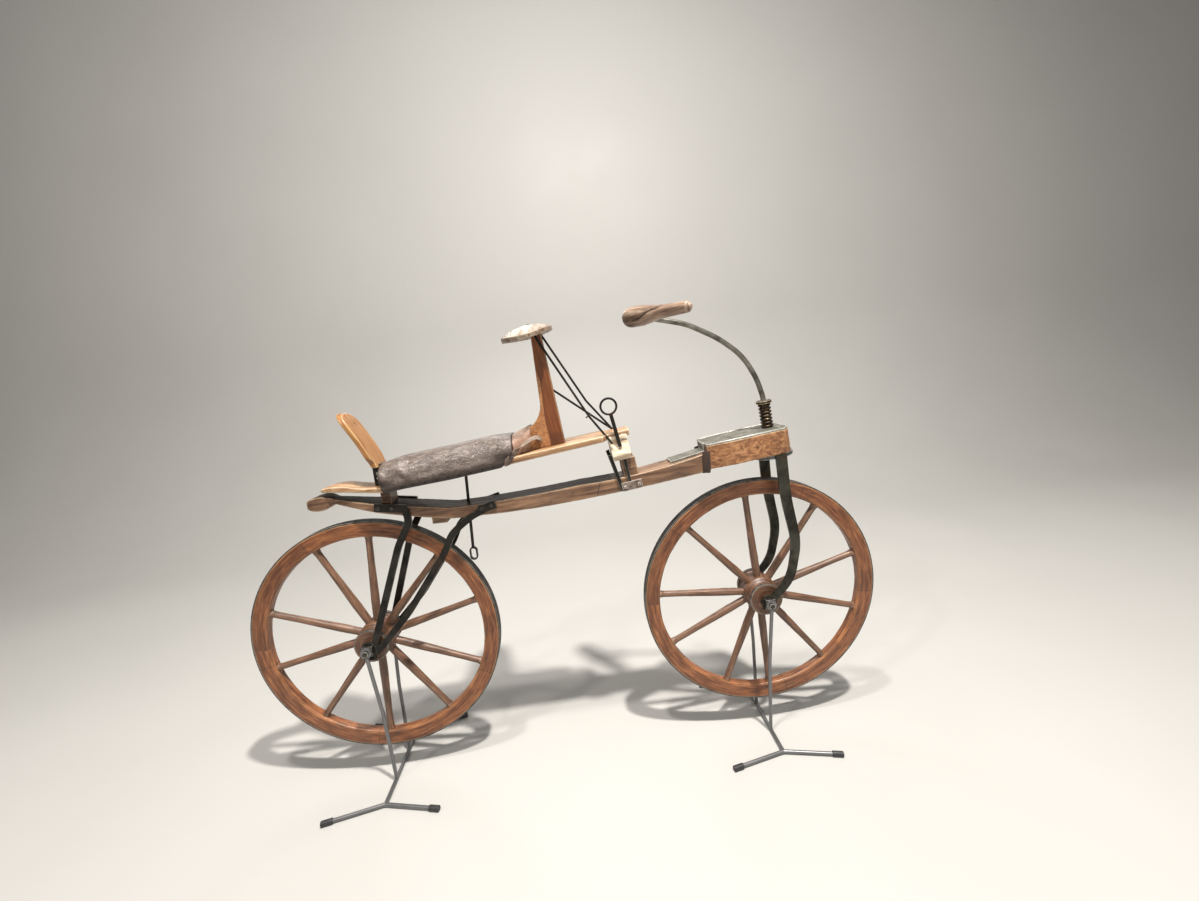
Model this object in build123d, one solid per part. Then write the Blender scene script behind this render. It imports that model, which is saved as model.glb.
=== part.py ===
from build123d import *
import math
import os

os.makedirs("parts", exist_ok=True)

# A wooden running machine on two museum stands: an ancestor of the bicycle with no pedals.
# Millimetres. +X is forward, +Y is the rider's left, +Z is up.
# The origin is on the floor, halfway between the two wheels.

# Wheels
wheelbase = 1116
wheel_radius = 345
wheel_lift = 85
tyre_thickness = 4
rim_width = 29
felloe_depth = 41
felloe_round = 4
hub_half_length = 56
hub_end_radius = 44
hub_waist_radius = 40
hub_belly_radius = 50
hub_belly_half_length = 18
hub_waist_start = 30
hub_shoulder_length = 6
hub_band_width = 9
hub_band_wall = 3
# The spokes are set by hand, so each has its own place. Degrees from +X towards +Z
spoke_angles = {
    "rear": [86, 115, 160, 192, 230, 267, 304, 337, 375, 408],
    "front": [96, 133, 175, 206, 248, 274, 309, 344, 377, 415],
}
# Spoke outline. Columns: distance, radius, measured from the hub's belly or the felloe's inner face
spoke_outline = [
    (-18, 6, "hub"),
    (-4, 6, "hub"),
    (-4, 10.5, "hub"),
    (56, 11.5, "hub"),
    (-70, 9, "rim"),
    (-12, 9, "rim"),
    (-4, 10.5, "rim"),
    (1, 10.5, "rim"),
    (1, 6, "rim"),
    (14, 6, "rim"),
]

# Axles and their nuts
axle_radius = 8
axle_half_length = 97
shoulder_radius = 13
lug_inner_y = 66
lug_thickness = 8
nut_side = 27
nut_thickness = 10
running_gap = 0.05
lug_radius = 21
lug_neck_width = 31.5
side_gap = 1

# Steering axis: it leans back, and crosses the top of the head block here
rake = 7
head_ahead = 42
head_rise = 140
shaft_radius = 11

# Head block, along the slope of its top and square to it
block_back = 192
block_front = 37
block_depth = 66
block_half_width = 60
block_corner = 15
shoulder_length = 62
shoulder_half_width = 50
plate_thickness = 4
plate_tail_length = 98
plate_tail_half_width = 28
perch_step = 19.5

# Perch: the long carved beam
perch_half_width = 40
perch_lug_x = 230
perch_lug_length = 40
perch_lug_half_width = 32
perch_lug_depth = 18
# Seen from the side. Columns: x from the rear axle, top and underside above the wheels' tops
perch_outline = [
    (-114, 70, 49),
    (-79, 81, 42),
    (-42, 71, 57),
    (118, 42, 15),
    (268, 19, -12),
    (438, 27, -10),
    (618, 44, 2),
]
# The same for the front end, with x from the front axle
perch_front_outline = [
    (-318, 61, 21),
    (-128, 101, 47),
]
# Seen from above. Columns: x from the rear axle, half width
perch_tail_plan = [
    (-122, 19),
    (-97, 25),
    (-67, 25),
    (-42, 19),
]
perch_full_width_x = 68

# Seat plank
plank_half_width = 65
tongue_half_width = 38
# Seen from the side. Columns: x from the rear axle, top and underside above the wheels' tops
plank_outline = [
    (-74, 99, 91),
    (-32, 106, 91),
    (18, 99, 86),
    (88, 94, 82),
    (158, 107, 91),
    (283, 120, 103),
    (408, 137, 119),
    (588, 160, 144),
]
# Its front end, with x from the front axle
plank_front_outline = [(-352, 183, 167)]
# Seen from above. Columns: x from the rear axle, half width
plank_tail_plan = [
    (-76, 12),
    (-64, 27),
    (-34, 35),
    (58, 38),
    (118, 61),
]
plank_full_width_x = 158
# Where it narrows to the tongue, with x from the front axle
tongue_start_x = -426
tongue_narrow_x = -410

# Saddle, with the leather cuff between it and the arm rest's post
saddle_back = 106
saddle_front = 463
saddle_height = 56
saddle_round = 42
saddle_skirt = 8
cuff_wall = 5
cuff_front = 501
cuff_low = 168
cuff_high = 206

# Backrest: a bent board, with x from the rear axle and heights above the wheels' tops
backrest_half_width = 40
backrest_thickness = 16
backrest_foot = (84, 146)
backrest_tip = (10, 295)
backrest_bow = 5
backrest_round = 34
backrest_waist = 6
backrest_waist_height = 46
clip_wall = 4
clip_half_width = 20
clip_overlap = 8

# Arm rest: an oval board, domed both ways, on a flat post, with x from the rear axle
arm_length = 136
arm_width = 240
arm_wall = 12
arm_radius_along = 152
arm_radius_across = 338
arm_rim_depth = 70
arm_tilt = 10.5
arm_roll = 4.3
arm_crown = (515, 477)
post_half_thickness = 20
post_top = (528, 552)
post_foot = (498, 590)
# The post's gusset, where three points make its arc: x, height above the wheels' tops
post_gusset = [(467, 198), (514, 223), (534, 271)]

# Iron rods from the arm rest to the front bracket. Columns: x, y, height, the axle that x is from
arm_rod_radius = 3
arm_rod_bend = 60
near_rod = [(538, -23.3, 451, "rear"), (-456, -36, 227, "front"), (-401, -50, 149, "front")]
far_rod = [(554, 23.3, 453, "rear"), (-458, 36, 264, "front"), (-378, 50, 160, "front")]
brace_rod = [(568, 23.3, 305, "rear"), (-389, 47.5, 175, "front")]

# Front seat bracket and the ring screw in its near edge, with x from the front axle
bracket_x = -385
bracket_lean = 8
bracket_block_length = 50
# Across the block: half width, depth under the plank
bracket_section = [(40, 0), (40, 14), (54, 46), (47, 60)]
riser_x = 14
riser_length = 40
riser_wall = 14
riser_half_width = 36
link_thickness = 5
# Iron links. Columns: top x and height, foot x and height, width
bracket_links = [
    (-411, 118, -382, 16, 10),
    (-372, 106, -361, 36, 8),
]
clamp_x = -357
clamp_length = 56
clamp_height = 24
clamp_thickness = 8
clamp_rise = 30
ring_radius = 21
ring_wire = 3
ring_centre = (-403, -46, 249)
screw_foot = (-381, -46, 140)
screw_radius = 5

# Rear seat block and the tie rod that hangs down through the perch
seat_block_x = 96
seat_block_length = 26
seat_block_half_width = 24
tie_top_x = 310
tie_low_x = 300
tie_radius = 4
tie_eye_half_width = 7
tie_eye_length = 38
tie_reach = 149
tie_head_depth = 3

# Rear stays: flat iron on both sides. Columns: x, height, measured from the wheel's top or the axle
stay_width = 18
stay_thickness = 7
stay_lug_drop = 30
rear_leg = [(148, 27, "top"), (154, -7, "top"), (118, -65, "top"), (10, -8, "axle")]
rear_leg_bends = [40, 200]
front_leg = [
    (376, 15, "top"),
    (318, -9, "top"),
    (262, -49, "top"),
    (235, -102, "top"),
    (120, 90, "axle"),
    (20, -12, "axle"),
]
front_leg_bends = [100, 80, 200, 300]
strap_width = 22
# Straps on the perch's sides. Columns: x from the rear axle and height at both ends
stay_straps = [(70, 42, 153, 30), (342, 6, 386, 18)]

# Fork
crown_radius = 56
crown_thickness = 11
pivot_gap = 0.4
leg_thickness = 7
fork_lug_drop = 20
# Leg below the crown. Columns: x from the front axle, height above it, width
leg_top_width = 31
leg_outline = [(60, 300, 29), (86, 168, 26), (66, 62, 23), (0, -4, 21)]
leg_bends = [600, 200, 120]
sleeve_core_radius = 13
sleeve_rings = 7
sleeve_ring_share = 0.36
sleeve_radius = 17
sleeve_length = 68
collar_radius = 21
collar_height = 8

# Tiller: its first, short run follows the steering axis. Columns: x behind the head, height above it
tiller_radius = 7
tiller_straight = 12
tiller_route = [(27, 142), (63, 207), (129, 260), (214, 305), (312, 328)]
tiller_bends = [100, 200, 200, 300, 250]

# Handle: it lies oblique on the tiller's end
handle_joint = (319, 338)
handle_turn = 41
handle_length = 223
handle_reach = 143
handle_big_radius = 28
handle_small_radius = 15
handle_belly_length = 66
handle_neck_length = 122
handle_neck_radius = 19
handle_tip_round = 9

# Stands
foot_reach = 156
foot_y = 174
node_y = 139
bar_radius = 5
cap_radius = 7.5
cap_length = 30
eye_radius = 14
eye_thickness = 8
eye_overlap = 2
strut_offset = 0.6
strut_waist_y = 62
strut_waist_z = 225
strut_foot_y = 55
strut_bend = 200

# How far one piece is let into its neighbour before it is cut back to seat there
seat_overlap = 8
# Longer than anything that is cut
beyond = 3000

# Worked out from the sizes above
axle_z = wheel_radius + wheel_lift
deck_z = axle_z + wheel_radius
rear_x = -wheelbase / 2
front_x = wheelbase / 2
axle_x = {"rear": rear_x, "front": front_x}
felloe_outer = wheel_radius - tyre_thickness
felloe_inner = felloe_outer - felloe_depth
lug_outer_y = lug_inner_y + lug_thickness
nut_outer_y = lug_outer_y + nut_thickness
lug_y = lug_inner_y + lug_thickness / 2
head_x = front_x + head_ahead
head_z = deck_z + head_rise
slope = math.radians(rake)
head_plane = Plane(
    origin=(head_x, 0, head_z),
    x_dir=(math.cos(slope), 0, math.sin(slope)),
    z_dir=(-math.sin(slope), 0, math.cos(slope)),
)
perch_top = [(rear_x + x, deck_z + high) for x, high, low in perch_outline]
perch_top += [(front_x + x, deck_z + high) for x, high, low in perch_front_outline]
perch_under = [(rear_x + x, deck_z + low) for x, high, low in perch_outline]
perch_under += [(front_x + x, deck_z + low) for x, high, low in perch_front_outline]
plank_top = [(rear_x + x, deck_z + high) for x, high, low in plank_outline]
plank_top += [(front_x + x, deck_z + high) for x, high, low in plank_front_outline]
plank_under = [(rear_x + x, deck_z + low) for x, high, low in plank_outline]
plank_under += [(front_x + x, deck_z + low) for x, high, low in plank_front_outline]

pieces = {}


def from_axle(x, y, height, end):
    """A point given from one of the axles and the wheels' tops."""
    return Vector(axle_x[end] + x, y, deck_z + height)


def height_at(outline, x):
    """Height of a board's top or underside at x, on the chord of its points."""
    for (x_left, z_left), (x_right, z_right) in zip(outline, outline[1:]):
        if x_left <= x <= x_right:
            return z_left + (x - x_left) / (x_right - x_left) * (z_right - z_left)
    raise ValueError("x lies outside the outline")


def arcs_through(points):
    """Arcs through every three points in a row: 1-2-3, 3-4-5 and so on."""
    line = Curve()
    for first, middle, last in zip(points[::2], points[1::2], points[2::2]):
        line += ThreePointArc(first, middle, last)
    return line


def side_outline(top, bottom, half_width):
    """A board seen from the side, as wide as two times half_width."""
    ends = Line(top[0], bottom[0]) + Line(top[-1], bottom[-1])
    face = make_face(arcs_through(top) + arcs_through(bottom) + ends)
    return extrude(Plane.XZ * face, half_width, both=True)


def plan_outline(half_widths):
    """A tall block seen from above, from (x, half width) pairs, to cut a board's plan with."""
    near = [(rear_x + x, -half) for x, half in half_widths]
    far = [(rear_x + x, half) for x, half in reversed(half_widths)]
    return extrude(make_face(Polyline(*near, *far, close=True)), beyond)


def flat_bar(route, widths, radii, thickness):
    """A flat bar in a plane: its centre line, its width at each point, its bend radii."""
    left = []
    right = []
    for i, (point, width) in enumerate(zip(route, widths)):
        here = Vector(*point)
        ahead = (Vector(*route[min(i + 1, len(route) - 1)]) - here)
        behind = (here - Vector(*route[max(i - 1, 0)]))
        ahead = ahead.normalized() if ahead.length > 0 else behind.normalized()
        behind = behind.normalized() if behind.length > 0 else ahead
        mean = (ahead + behind).normalized()
        reach = width / 2 / mean.dot(ahead)
        side = Vector(-mean.Y, mean.X)
        left.append(here + side * reach)
        right.append(here - side * reach)
    if len(route) > 2:
        outline = FilletPolyline(*left, radius=radii) + FilletPolyline(*right, radius=radii)
    else:
        outline = Line(*left) + Line(*right)
    outline += Line(left[0], right[0]) + Line(left[-1], right[-1])
    return extrude(make_face(outline), thickness / 2, both=True)


def both_sides(shape):
    return [shape, mirror(shape, Plane.XZ)]


def rod(route, radius, bend):
    """A round rod along a route with rounded bends."""
    line = FilletPolyline(*route, radius=bend) if len(route) > 2 else Line(*route)
    section = Plane(origin=line @ 0, z_dir=line % 0) * Circle(radius)
    return sweep(section, path=line)


def straight_rod(start, end, radius):
    """A round bar between two points."""
    run = end - start
    return extrude(Plane(origin=start, z_dir=run) * Circle(radius), run.length)


def along_y(x, z, y_start, y_end, radius):
    """A round bar that runs along Y."""
    middle = (y_start + y_end) / 2
    return Pos(x, middle, z) * Rot(X=90) * Cylinder(radius, abs(y_end - y_start))


def leaning_plane(top_height, top_y):
    """The plane of a stay or fork leg: from the lug at the axle, leaning in to top_y at the top."""
    rise_y = lug_y - top_y
    length = math.hypot(rise_y, top_height)
    return Plane(
        origin=(0, lug_y, axle_z),
        x_dir=(1, 0, 0),
        z_dir=(0, -top_height / length, -rise_y / length),
    )


# Wheels
def wheel_spoke(angle):
    """One turned spoke, with a tenon at each end, in the wheel's own frame."""
    base = {"hub": hub_belly_radius, "rim": felloe_inner}
    outline = [(base[start] + distance, radius) for distance, radius, start in spoke_outline]
    ends = [(outline[-1][0], 0), (outline[0][0], 0)]
    face = Plane.XZ * make_face(Polyline(*outline, *ends, close=True))
    return Rot(Y=-angle) * revolve(face, Axis.X)


def wheel_ring(outer, inner, width):
    return Rot(X=90) * (Cylinder(outer, width) - Cylinder(inner, width))


def build_wheel(end):
    place = Pos(axle_x[end], 0, axle_z)
    spokes = [wheel_spoke(angle) for angle in spoke_angles[end]]
    tyre = wheel_ring(wheel_radius, felloe_outer, rim_width)
    felloes = wheel_ring(felloe_outer, felloe_inner, rim_width)
    inner_edges = felloes.edges().filter_by(GeomType.CIRCLE).sort_by(lambda e: e.radius)[:2]
    felloes = chamfer(inner_edges, felloe_round)
    # Hub barrel. Columns: distance from the middle, radius
    band_start = hub_half_length - hub_band_width
    barrel = [
        (0, 0),
        (0, hub_belly_radius),
        (hub_belly_half_length, hub_belly_radius),
        (hub_waist_start, hub_waist_radius),
        (band_start - hub_shoulder_length, hub_waist_radius),
        (band_start, hub_end_radius),
        (hub_half_length, hub_end_radius),
        (hub_half_length, 0),
    ]
    half = revolve(Plane.YX * make_face(Polyline(*barrel, close=True)), Axis.Y)
    bore = Rot(X=90) * Cylinder(axle_radius + running_gap, beyond)
    hub = half + mirror(half, Plane.XZ) - bore
    band = wheel_ring(hub_end_radius + hub_band_wall, hub_end_radius, hub_band_width)
    bands = both_sides(Pos(0, hub_half_length - hub_band_width / 2, 0) * band)
    pieces[f"{end}_tyre"] = place * tyre
    pieces[f"{end}_felloes"] = place * (felloes - spokes)
    pieces[f"{end}_hub"] = place * (hub - spokes)
    pieces[f"{end}_hub_bands"] = place * Compound(children=bands)
    pieces[f"{end}_spokes"] = place * Compound(children=spokes)


def build_axle(end):
    x = axle_x[end]
    rod_bar = along_y(x, axle_z, -axle_half_length, axle_half_length, axle_radius)
    shoulder = along_y(x, axle_z, hub_half_length + side_gap, lug_inner_y, shoulder_radius)
    pieces[f"{end}_axle"] = rod_bar + both_sides(shoulder)
    nut = Pos(x, lug_outer_y + nut_thickness / 2, axle_z) * Box(nut_side, nut_thickness, nut_side)
    nut -= along_y(x, axle_z, 0, axle_half_length, axle_radius)
    pieces[f"{end}_axle_nuts"] = Compound(children=both_sides(nut))


def lug_plate(x, drop):
    """The rounded iron plate that a stay or fork leg ends in, round the axle."""
    plate = Pos(x, lug_y, axle_z) * Rot(X=90) * Cylinder(lug_radius, lug_thickness)
    return plate + Pos(x, lug_y, axle_z - drop / 2) * Box(lug_neck_width, lug_thickness, drop)


# Stands
def build_stand(end):
    x = axle_x[end]
    eye = along_y(x, axle_z, nut_outer_y, nut_outer_y + eye_thickness, eye_radius)
    eye -= along_y(x, axle_z, 0, axle_half_length, axle_radius)
    route = [
        (x, nut_outer_y + bar_radius + strut_offset, axle_z - eye_radius + eye_overlap),
        (x, strut_waist_y, strut_waist_z),
        (x, strut_foot_y, cap_radius),
    ]
    strut = rod(route, bar_radius, strut_bend) + eye
    base = along_y(x, cap_radius, -node_y, node_y, bar_radius) + both_sides(strut)
    caps = []
    for side_x in (-1, 1):
        for side_y in (-1, 1):
            start = Vector(x, side_y * node_y, cap_radius)
            tip = Vector(x + side_x * foot_reach, side_y * foot_y, cap_radius)
            run = (tip - start).normalized()
            base += straight_rod(start, tip - run * cap_length, bar_radius)
            caps.append(straight_rod(tip - run * cap_length, tip, cap_radius))
    pieces[f"{end}_stand_frame"] = base
    pieces[f"{end}_stand_caps"] = Compound(children=caps)


# Frame
def build_perch():
    perch = side_outline(perch_top, perch_under, perch_half_width)
    full = [(perch_full_width_x, perch_half_width), (beyond, perch_half_width)]
    perch &= plan_outline(perch_tail_plan + full)
    perch -= head_plane * Pos(beyond / 2 - block_back, 0, 0) * Box(beyond, beyond, beyond)
    perch -= tie_rod_line(tie_radius + running_gap)
    pieces["perch"] = perch
    lug_x = rear_x + perch_lug_x
    top = height_at(perch_under, lug_x) + seat_overlap
    depth = perch_lug_depth + seat_overlap
    lug = Box(perch_lug_length, 2 * perch_lug_half_width, depth)
    pieces["perch_lug"] = Pos(lug_x, 0, top - depth / 2) * lug - perch


def build_head():
    half = block_half_width
    plan = [
        (-block_back, shoulder_half_width),
        (-block_back + shoulder_length, half),
        (block_front - block_corner, half),
        (block_front, half - block_corner),
    ]
    near = [(u, -v) for u, v in plan]
    far = [(u, v) for u, v in reversed(plan)]
    shape = make_face(Polyline(*near, *far, close=True))
    bore = head_plane * Cylinder(shaft_radius + running_gap, beyond)
    block = extrude(head_plane * shape, -block_depth) - bore
    pieces["head_block"] = block
    pieces["head_plate"] = extrude(head_plane * shape, plate_thickness) - bore
    # The plate's tail: down the back of the block, then back along the perch
    corner = (head_plane * Pos(-block_back, 0, -perch_step)).position
    end_x = corner.X - plate_tail_length
    end_z = height_at(perch_top, end_x)
    strip = [
        (end_x, end_z - seat_overlap),
        (corner.X, corner.Z - seat_overlap),
        (corner.X, corner.Z + plate_thickness),
        (end_x, end_z + plate_thickness),
    ]
    tail = extrude(Plane.XZ * make_face(Polyline(*strip, close=True)), plate_tail_half_width, both=True)
    back_height = perch_step + plate_thickness + seat_overlap
    back_centre = Pos(-block_back - plate_thickness / 2, 0, plate_thickness - back_height / 2)
    tail += head_plane * back_centre * Box(plate_thickness, 2 * plate_tail_half_width, back_height)
    pieces["head_plate_tail"] = tail - pieces["perch"] - block - pieces["head_plate"]


def tie_rod_line(radius):
    top_x = rear_x + tie_top_x
    top_z = height_at(plank_top, top_x) - tie_head_depth
    low = from_axle(tie_low_x, 0, tie_eye_length - tie_reach - tie_radius, "rear")
    return straight_rod(low, Vector(top_x, 0, top_z), radius)


def ring_screw_line(radius):
    foot = from_axle(*screw_foot, "front")
    centre = from_axle(*ring_centre, "front")
    run = centre - foot
    return straight_rod(foot, foot + run.normalized() * (run.length - ring_radius), radius)


def arm_rod_lines(radius):
    """The near rod, and the far rod with its brace."""
    near = rod([from_axle(*point) for point in near_rod], radius, arm_rod_bend)
    far = rod([from_axle(*point) for point in far_rod], radius, arm_rod_bend)
    brace = rod([from_axle(*point) for point in brace_rod], radius, arm_rod_bend)
    return near, far + brace


def saddle_run():
    """Where the saddle's underside starts and ends, on the plank's top."""
    ends = [rear_x + saddle_back, rear_x + saddle_front]
    return [Vector(x, 0, height_at(plank_top, x)) for x in ends]


def build_seat():
    plank = side_outline(plank_top, plank_under, plank_half_width)
    front = [
        (plank_full_width_x, plank_half_width),
        (wheelbase + tongue_start_x, plank_half_width),
        (wheelbase + tongue_narrow_x, tongue_half_width),
        (beyond, tongue_half_width),
    ]
    plank &= plan_outline(plank_tail_plan + front)
    plank -= tie_rod_line(tie_radius + running_gap)
    for line in arm_rod_lines(arm_rod_radius + running_gap):
        plank -= line
    pieces["seat_plank"] = plank
    start, end = saddle_run()
    section = RectangleRounded(2 * plank_half_width, 2 * saddle_height, saddle_round)
    section -= Pos(0, -saddle_height) * Rectangle(2 * beyond, 2 * saddle_height)
    section += Pos(0, -saddle_skirt) * Rectangle(2 * plank_half_width, 2 * saddle_skirt)
    along = Plane(origin=start, x_dir=(0, 1, 0), z_dir=end - start)
    saddle = extrude(along * section, (end - start).length)
    below = [(x, z - beyond) for x, z in plank_under]
    pieces["saddle"] = saddle - side_outline(plank_top, below, beyond)
    block_x = rear_x + seat_block_x
    low = height_at(perch_top, block_x) - seat_overlap
    high = height_at(plank_under, block_x) + seat_overlap
    block = Box(seat_block_length, 2 * seat_block_half_width, high - low)
    pieces["rear_seat_block"] = Pos(block_x, 0, (low + high) / 2) * block - pieces["perch"] - plank
    ring = SlotOverall(tie_eye_length, 2 * (tie_eye_half_width + tie_radius), rotation=90)
    hole = SlotOverall(tie_eye_length - 2 * tie_radius, 2 * tie_eye_half_width, rotation=90)
    eye = extrude(Rot(X=90) * (ring - hole), tie_radius, both=True)
    eye_centre = from_axle(tie_low_x, 0, tie_eye_length / 2 - tie_reach, "rear")
    pieces["seat_tie_rod"] = tie_rod_line(tie_radius) + Pos(eye_centre) * eye


def build_backrest():
    foot_x = rear_x + backrest_foot[0]
    foot_z = deck_z + backrest_foot[1]
    tip_x = rear_x + backrest_tip[0]
    tip_z = deck_z + backrest_tip[1]
    half = backrest_thickness / 2
    front = SagittaArc((tip_x + half, tip_z), (foot_x + half, foot_z), backrest_bow)
    back = SagittaArc((tip_x - half, tip_z), (foot_x - half, foot_z), backrest_bow)
    ends = Line(front @ 0, back @ 0) + Line(front @ 1, back @ 1)
    board = extrude(Plane.XZ * make_face(front + back + ends), backrest_half_width, both=True)
    outline = Pos(0, (foot_z + tip_z) / 2) * RectangleRounded(
        2 * backrest_half_width, tip_z - foot_z, backrest_round
    )
    waist = 2 * (backrest_half_width - backrest_waist)
    outline += Pos(0, foot_z + backrest_waist_height / 2) * Rectangle(waist, backrest_waist_height)
    board &= extrude(Plane.YZ * outline, beyond, both=True)
    pieces["backrest"] = board
    low = height_at(plank_top, foot_x) - seat_overlap
    high = foot_z + clip_overlap
    clip = Pos(foot_x, 0, (low + high) / 2) * Box(
        backrest_thickness + 2 * clip_wall, 2 * clip_half_width, high - low
    )
    pieces["backrest_clip"] = clip - pieces["seat_plank"] - board


def build_arm_rest():
    gusset = [(rear_x + x, deck_z + height) for x, height in post_gusset]
    top_z = deck_z + arm_crown[1] + seat_overlap
    top = [(rear_x + x, top_z) for x in post_top]
    feet = []
    for x in post_foot:
        feet.append((rear_x + x, height_at(plank_top, rear_x + x) - seat_overlap))
    post = Polyline(gusset[-1], top[0], top[1], feet[1], feet[0], gusset[0])
    post += ThreePointArc(*gusset)
    solid = extrude(Plane.XZ * make_face(post), post_half_thickness, both=True)
    # The dome's centre lies below the crown by its radius across
    centre_line = arm_radius_across - arm_radius_along
    outer = Rot(Y=90) * Torus(centre_line, arm_radius_along)
    inner = Rot(Y=90) * Torus(centre_line, arm_radius_along - arm_wall)
    oval = Pos(Z=arm_radius_across - arm_rim_depth) * extrude(
        Ellipse(arm_length / 2, arm_width / 2), 2 * arm_rim_depth
    )
    crown = Pos(from_axle(arm_crown[0], 0, arm_crown[1], "rear")) * Rot(X=arm_roll, Y=-arm_tilt)
    place = crown * Pos(Z=-arm_radius_across)
    above = place * (oval - inner)
    pieces["arm_board"] = place * (outer & oval) - place * inner
    post_solids = (solid - pieces["seat_plank"] - above - pieces["saddle"]).solids()
    pieces["arm_post"] = post_solids.sort_by(SortBy.VOLUME)[-1]
    # The cuff starts at the saddle's end face, and what lies behind that face is cut off it
    start, end = saddle_run()
    behind = extrude(Plane(origin=end, z_dir=start - end) * Rectangle(beyond, beyond), beyond)
    cuff_back = rear_x + saddle_front - seat_overlap
    cuff_length = rear_x + cuff_front - cuff_back
    cuff_centre = Pos(cuff_back + cuff_length / 2, 0, deck_z + (cuff_low + cuff_high) / 2)
    cuff = cuff_centre * Box(
        cuff_length, 2 * (post_half_thickness + cuff_wall), cuff_high - cuff_low
    )
    pieces["saddle_cuff"] = cuff - solid - behind
    rods = []
    for line in arm_rod_lines(arm_rod_radius):
        cut = line - above - pieces["bracket_block"]
        rods.append(cut.solids().sort_by(SortBy.VOLUME)[-1])
    pieces["arm_rods"] = Compound(children=rods)


def build_front_bracket():
    x = front_x + bracket_x
    frame = Pos(x, 0, height_at(plank_under, x)) * Rot(Y=-bracket_lean)
    near = [(-half, -depth) for half, depth in bracket_section]
    far = [(half, -depth) for half, depth in reversed(bracket_section)]
    top = [(tongue_half_width, seat_overlap), (-tongue_half_width, seat_overlap)]
    face = make_face(Polyline(*near, *far, *top, close=True))
    block = frame * extrude(Plane.YZ * face, bracket_block_length / 2, both=True)
    block = block - pieces["seat_plank"] - ring_screw_line(screw_radius)
    pieces["bracket_block"] = block
    depth = bracket_section[-1][1]
    low = height_at(perch_top, x + riser_x) - seat_overlap
    length = deck_z + head_rise - low
    cheek_y = riser_half_width - riser_wall / 2
    cheek = frame * Pos(riser_x, cheek_y, -depth - length / 2) * Box(riser_length, riser_wall, length)
    below = [(x, z - beyond) for x, z in perch_under]
    risers = Compound(children=both_sides(cheek)) - side_outline(perch_top, below, beyond)
    pieces["bracket_risers"] = risers
    links = []
    for top_x, top_height, foot_x, foot_height, width in bracket_links:
        route = [(front_x + top_x, deck_z + top_height), (front_x + foot_x, deck_z + foot_height)]
        links.append(flat_bar(route, [width, width], 0, link_thickness))
    link_y = perch_half_width + link_thickness / 2
    link = Pos(0, link_y, 0) * Rot(X=90) * Compound(children=links) - block
    clamp_y = perch_half_width + clamp_thickness / 2
    clamp_place = Pos(front_x + clamp_x, clamp_y, deck_z + clamp_rise) * Rot(Y=-bracket_lean)
    clamp = clamp_place * Box(clamp_length, clamp_thickness, clamp_height)
    pieces["bracket_links"] = Compound(children=both_sides(link))
    pieces["bracket_clamps"] = Compound(children=both_sides(clamp - link))
    centre = Plane(origin=from_axle(*ring_centre, "front"), x_dir=(1, 0, 0), z_dir=(0, 1, 0))
    pieces["ring_screw"] = ring_screw_line(screw_radius) + centre * Torus(ring_radius, ring_wire)


# Rear stays
def stay_route(leg):
    """Points of a stay's leg in its plane: x, height above the axle."""
    base = {"top": wheel_radius, "axle": 0}
    return [(rear_x + x, base[start] + height) for x, height, start in leg]


def build_stays():
    strap_y = perch_half_width + stay_thickness / 2
    plane = leaning_plane(wheel_radius, strap_y)
    bars = flat_bar(stay_route(rear_leg), [stay_width] * len(rear_leg), rear_leg_bends, stay_thickness)
    bars += flat_bar(stay_route(front_leg), [stay_width] * len(front_leg), front_leg_bends, stay_thickness)
    side = plane * bars + lug_plate(rear_x, stay_lug_drop)
    for x_back, z_back, x_front, z_front in stay_straps:
        route = [(rear_x + x_back, deck_z + z_back), (rear_x + x_front, deck_z + z_front)]
        strap = flat_bar(route, [strap_width, strap_width], 0, stay_thickness)
        side += Pos(0, strap_y, 0) * Rot(X=90) * strap
    side -= Pos(0, 0, deck_z) * Box(beyond, 2 * perch_half_width, beyond)
    side -= along_y(rear_x, axle_z, 0, beyond, axle_radius)
    pieces["stays_far"] = side
    pieces["stays_near"] = mirror(side, Plane.XZ)


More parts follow.
